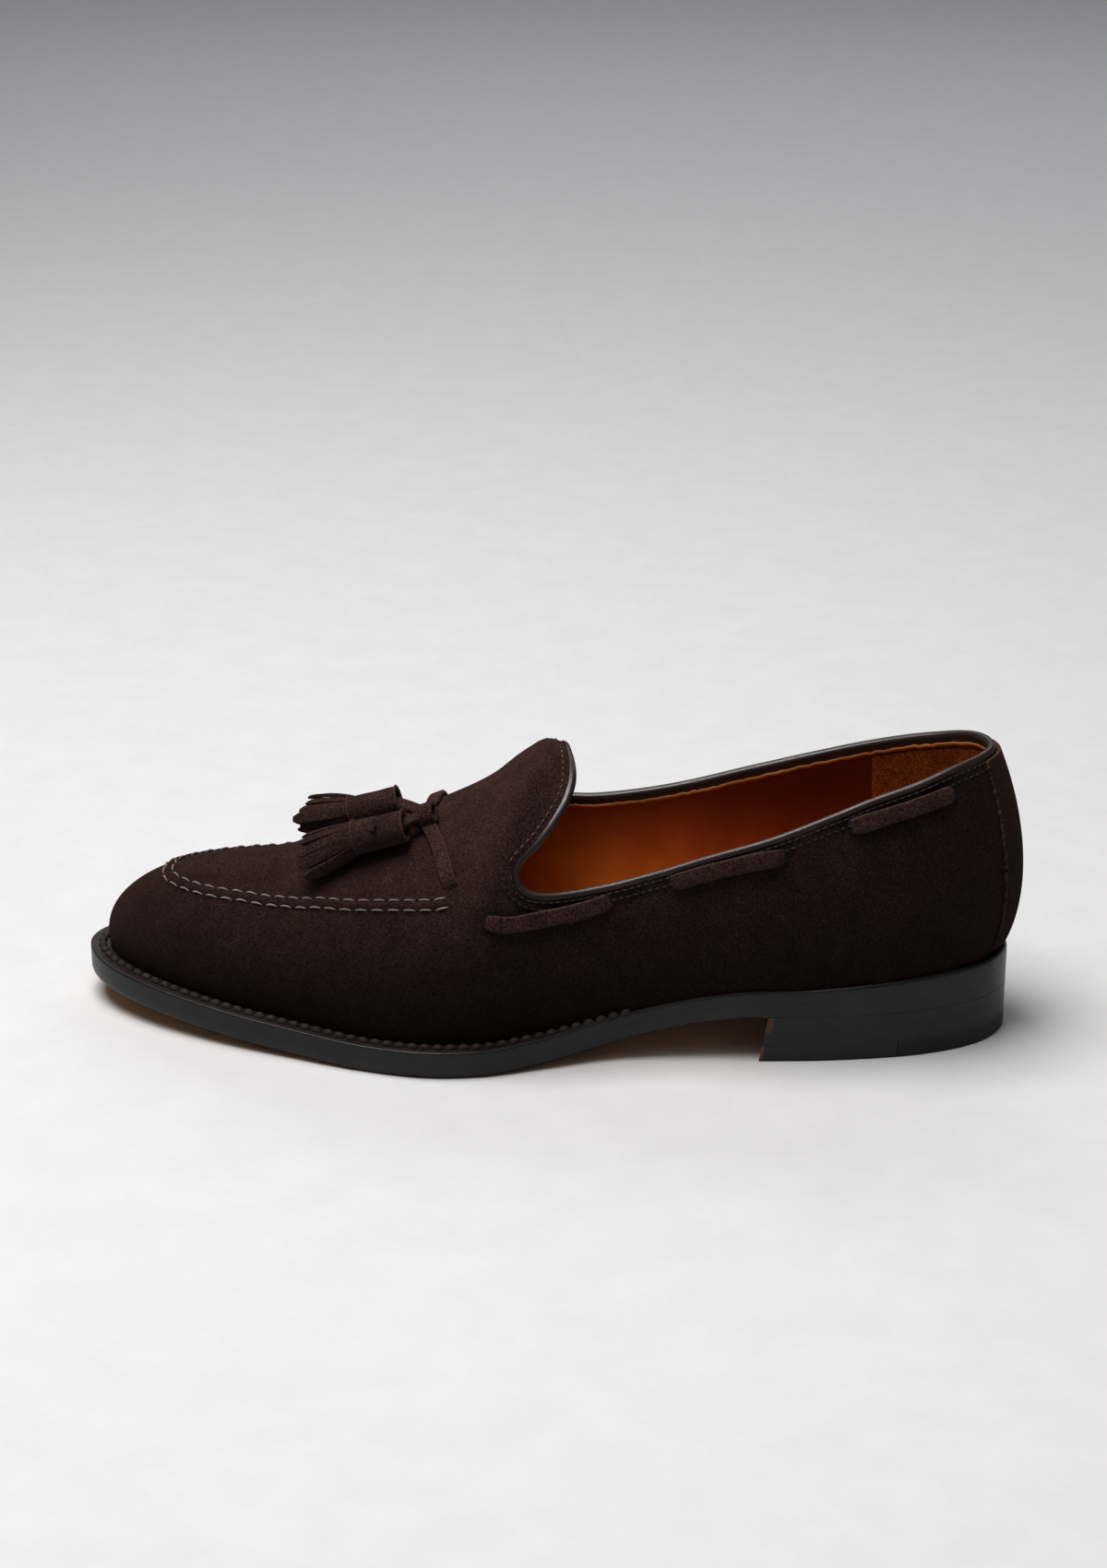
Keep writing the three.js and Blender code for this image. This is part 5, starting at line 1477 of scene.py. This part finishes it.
# %% Both fringes
FRINGE_RINGS = ((11, 0.74, 1.1), (7, 0.42, 0.7), (4, 0.16, 0.3))
STRIP_WIDTH, STRIP_THICKNESS = 3.1, 1.15
FRINGES = (("lateral", 11, 1.3), ("medial", 23, 1.0))
for name, seed, spread in FRINGES:
    (back, mouth, tip), out = tassel_places(name)
    start = mouth - unit(mouth - back) * 1.5
    front, across, lifted = tassel_frame(start, tip, out)
    length = np.linalg.norm(tip - start)
    draw = np.random.default_rng(seed)
    strips = []
    for ring, (count, near, far) in enumerate(FRINGE_RINGS):
        for k in range(count):
            turn = 2 * math.pi * (k + 0.5 * ring) / count + draw.normal(0, 0.08)
            c, s = math.cos(turn), math.sin(turn)
            spot = across * c * TASSEL_WIDTH / 2 + lifted * s * TASSEL_HEIGHT / 2
            away = (across * c * TASSEL_WIDTH / 2 + lifted * s * TASSEL_HEIGHT * 0.33) * spread
            reach = length * (1 - 0.16 * draw.random())
            aim = start + front * reach + away * far * (1 + draw.normal(0, 0.08))
            aim = aim + across * draw.normal(0, 0.5)
            facing = unit(across * c * 0.8 + lifted * s)
            strips.append(
                strip_of_fringe(
                    f"strip_{name}_{ring}_{k}", start + spot * near, aim, facing,
                    STRIP_WIDTH + draw.normal(0, 0.25), STRIP_THICKNESS,
                    spot * 0.12 + lifted * draw.normal(0, 0.5),
                )
            )
    fringe = joined(f"fringe_{name}", strips)
    completed(fringe, "tassel_suede", [f"tassel_fringe_{name}"], 40, tassel_suede)

# %% [markdown]
# ## Welt and rand
# The welt is the strip that joins upper and sole. It is swept round the edge of the sole from one side of
# the heel breast to the other. Its thick brown stitches lie close together on top, four millimetres
# apart, and its edge is waxed black with a fine groove. The rand closes the ring round the heel.


# %% Welt and rand
def edge_ring(name, first, last, steps, section):
    """A ring round the edge of the sole. Each point of its section is a share of the way in to the upper's
    foot, an inset from the edge, a share of the height over the outsole, and a drop."""
    turns = np.linspace(first, last, steps + 1)
    feet = feather(turns, UPPER_WALL)
    edge, normal = edge_at(turns), edge_normal(turns)
    wide = np.linalg.norm(edge - feet, axis=-1)

    def point(u, v):
        i = np.round(u * steps).astype(int)
        k = np.round(v * len(section)).astype(int) % len(section)
        share, inset, height, down = (np.array([row[c] for row in section])[k] for c in range(4))
        spot = edge[i] - normal[i] * (wide[i] * share + inset)[:, None]
        low, high = outsole_top(spot[:, 0]) + GAP * 0.3, welt_top(spot[:, 0])
        return np.concatenate([spot, (low + (high - low) * height - down)[:, None]], -1)

    ring = lay_grid(name, steps, len(section), point)
    return smoothed(edited(ring, merge(), close_ends, face_out), 40)


WELT_SECTION = [
    (0, 0.02, 0, 0.5), (0, 0, 0, -0.25), (0, 0, 0.7, 0), (0, 0.05, 0.78, 0), (0, 0.2, 0.81, 0),
    (0, 0.2, 0.85, 0), (0, 0.02, 0.88, 0), (0, 0.1, 0.95, 0), (0, 0.4, 1, 0.02), (0, 0.9, 1, 0),
    (0, 1.5, 1, 0.12), (0.5, 0, 1, 0.3), (0.72, 0, 1, 0.25), (1, 0, 1, 0.2), (1, 0, 0, 0),
]
RAND_SECTION = [
    (0, 0.02, 0, 0.5), (0, 0, 0, -0.25), (0, 0, 0.8, 0), (0, 0.12, 0.93, 0), (0, 0.45, 1, 0.02),
    (0.6, 0.3, 1, 0.1), (1, 0, 1, 0.15), (1, 0, 0, 0),
]
outer_breast = float(turn_along("outer", HEEL_BREAST))
inner_breast = float(turn_along("inner", HEEL_BREAST))
welt = edge_ring("welt_strip", outer_breast, inner_breast, 560, WELT_SECTION)
dress(welt, edge_wax, welt_leather)
second_finish(welt, face_values(welt, "normal")[:, 2] > 0.93)
belongs(welt, "welt_leather", "welt")
rand = edge_ring("heel_rand_strip", inner_breast, outer_breast + 1, 220, RAND_SECTION)
dress(rand, edge_wax)
belongs(rand, "rand_leather", "heel_rand")

# %% The welt's stitches
WELT_PITCH = 4.0
WELT_ROW = {"outer": 118, "inner": 130}
first, last = (float(turn_along(side, along)) for side, along in WELT_ROW.items())
turns = np.linspace(first, last, 900)
feet, edge = feather(turns, 0.0), edge_at(turns)
row = edge + (feet - edge) * 0.6
line = np.concatenate([row, (welt_top(row[:, 0]) - 0.1)[:, None]], -1)
upward = np.tile((0.0, 0.0, 1.0), (len(turns), 1))
seam_stitches("welt_thread", line, upward, WELT_PITCH, welt_cord, "welt_leather",
              length=3.9, thickness=2.7, arch=0.7, lift=0.15)
seam_holes("welt_holes", line, upward, WELT_PITCH, wide=1.2, lift=-0.05)

# %% [markdown]
# ## Sole and heel
# The outsole, the heel lifts, the top lift and its rubber corner all share the outline of the sole. Each
# is a layer: rows of points across the shoe, in rings from the lower face round the edge to the upper
# face. The edge is waxed black, and underneath the leather is left natural. The face of the heel towards
# the arch is hollowed and raw.


# %% Layers of the sole
def outline(start, stop, count):
    """Distances along the shoe, closer together round the heel and the toe, and the turns on both sides."""
    low = math.acos(1 - 2 * start / SOLE_LENGTH) / math.pi
    high = math.acos(1 - 2 * stop / SOLE_LENGTH) / math.pi
    along = SOLE_LENGTH * (1 - np.cos((low + (high - low) * np.linspace(0, 1, count + 1)) * math.pi)) / 2
    outer, inner = turn_along("outer", along), turn_along("inner", along)
    if start <= 0:
        outer[0] = inner[0] = HEEL_TURN
    if stop >= SOLE_LENGTH:
        outer[-1] = inner[-1] = TOE_TURN
    return along, outer, inner


def layered(name, start, stop, rings, count=90, across=16, hollow=0.0, edge=None):
    """A layer of the sole from rings of (inset, height, shift of the open end)."""
    along, outer, inner = outline(start, stop, count)
    edge = edge or (lambda turn, inset: edge_at(turn) - edge_normal(turn) * inset)
    k = np.linspace(0, 1, across + 1)
    open_end = np.zeros(count + 1)
    if stop < SOLE_LENGTH:
        open_end = np.clip((along - stop + 12) / 12, 0, 1)
    sheets = []
    for inset, height, shift in rings:
        if callable(inset):
            inset = inset(along)[:, None]
        a, b = edge(outer, inset), edge(inner, inset)
        spot = a[:, None] + (b - a)[:, None] * k[None, :, None]
        spot[..., 0] += (shift * open_end)[:, None]
        spot[..., 0] -= hollow * open_end[:, None] * (1 - (2 * k - 1) ** 2)[None]
        level = height(spot[..., 0]) if callable(height) else np.full(spot.shape[:2], height)
        sheets.append(np.concatenate([spot, level[..., None]], -1))
    block = np.array(sheets)
    faces = {
        "lower": block[0], "upper": block[-1], "outer": block[:, :, 0], "inner": block[:, :, -1],
        "front": block[:, -1], "back": block[:, 0],
    }
    pieces = []
    for part, sheet in faces.items():
        if np.ptp(sheet.reshape(-1, 3), axis=0)[:2].max() < 0.1:
            continue
        n, m = sheet.shape[0] - 1, sheet.shape[1] - 1

        def point(u, v, sheet=sheet, n=n, m=m):
            return sheet[np.round(u * n).astype(int), np.round(v * m).astype(int)]

        pieces.append(lay_grid(f"{name}_{part}", n, m, point))
    piece = joined(name, pieces)
    return smoothed(edited(piece, merge(0.01), face_out), 35)


def over(along, more=0.0):
    return lambda x: along(x) + more


def bevel(inset):
    """An inset that fades out where the heel stands under the sole."""
    return lambda x: inset * (0.08 + 0.92 * np.clip((x - HEEL_BREAST + 3) / 10, 0, 1))


# %% The outsole
outsole = layered(
    "outsole_leather", 0, SOLE_LENGTH,
    [
        (4.2, underside, 0), (4.0, over(underside, 0.18), 0), (3.8, over(underside, 0.18), 0),
        (3.6, underside, 0), (bevel(1.5), underside, 0), (bevel(0.7), over(underside, 0.22), 0),
        (bevel(0.18), over(underside, 0.7), 0),
        (0, over(underside, 1.4), 0), (0, over(underside, 4.2), 0), (0.02, over(underside, 4.95), 0),
        (0.12, over(underside, 5.2), 0),
    ],
    150, 18,
)
dress(outsole, edge_wax, sole_bottom)
second_finish(outsole, face_values(outsole, "normal")[:, 2] < -0.75)
belongs(outsole, "sole_leather", "outsole")

# %% The insole
insole = layered(
    "insole_sock", 0, SOLE_LENGTH,
    [(0, over(outsole_top, 0.3), 0), (0, over(welt_top, 0.7), 0), (0.4, over(welt_top, 1.0), 0)],
    90, 14, edge=lambda turn, inset: feather(turn, UPPER_WALL + 0.8 + inset),
)
dress(insole, lining_leather)
belongs(insole, "lining_leather", "insole")

# %% The heel
RUBBER_ALONG = 35.0
UNDERCUT = 2.6
BREAST_HOLLOW = 2.5
STACK_FOOT, STACK_JOINTS = 5.1, (9.6,)
TOP_LIFT_RINGS = [(0.6, 0.0, 2.6), (0.12, 0.25, 2.5), (0, 0.8, 2.4), (0, 4.95, 1.75), (0.01, 5.08, 1.7)]


def undercut(height):
    return UNDERCUT * (1 - height / HEEL_HEIGHT)


def stack_rings(low, joints):
    """Rings up the heel with a fine groove at each joint between two lifts."""
    rings = [(0.02, low, undercut(low)), (0.0, low + 0.15, undercut(low))]
    for joint in joints:
        rings += [(0.0, joint - 0.1, undercut(joint)), (0.015, joint, undercut(joint)),
                  (0.0, joint + 0.1, undercut(joint))]
    rings += [(0.0, lambda x: underside(x) - 0.2, 0), (0.02, lambda x: underside(x) + 0.1, 0)]
    return rings


heel_stack = layered(
    "heel_stack", 0, HEEL_BREAST, stack_rings(STACK_FOOT, STACK_JOINTS), 70, 14, hollow=BREAST_HOLLOW
)
top_lift = layered(
    "top_lift_leather", RUBBER_ALONG + 0.1, HEEL_BREAST, TOP_LIFT_RINGS, 60, 14, hollow=BREAST_HOLLOW
)
rubber_piece = layered(
    "top_lift_rubber_piece", 0, RUBBER_ALONG - 0.1,
    [(inset, height, 0) for inset, height, _ in TOP_LIFT_RINGS], 60, 14,
)


# %% The raw face of the heel
def raw_faces(piece):
    """The faces of the breast and the narrow strip of the sides next to it, which the wax doesn't reach."""
    along, level = face_values(piece, "center")[:, 0], face_values(piece, "center")[:, 2]
    near = along < (SHIFT_X - HEEL_BREAST + 4.5) * MM
    level = np.round(level / MM * 2).astype(int)
    front_most = np.full(level.max() + 1, 1.0)
    np.minimum.at(front_most, level, along)
    return near & ((face_values(piece, "normal")[:, 0] < -0.8) | (along < front_most[level] + 0.7 * MM))


for piece, slot, node, finishes in (
    (heel_stack, "heel_leather", "heel_lifts", (edge_wax, raw_fibre)),
    (top_lift, "heel_leather", "top_lift", (edge_wax, raw_fibre)),
    (rubber_piece, "rubber", "top_lift_rubber", (rubber,)),
):
    dress(piece, *finishes)
    if len(finishes) > 1:
        second_finish(piece, raw_faces(piece))
    belongs(piece, slot, node)
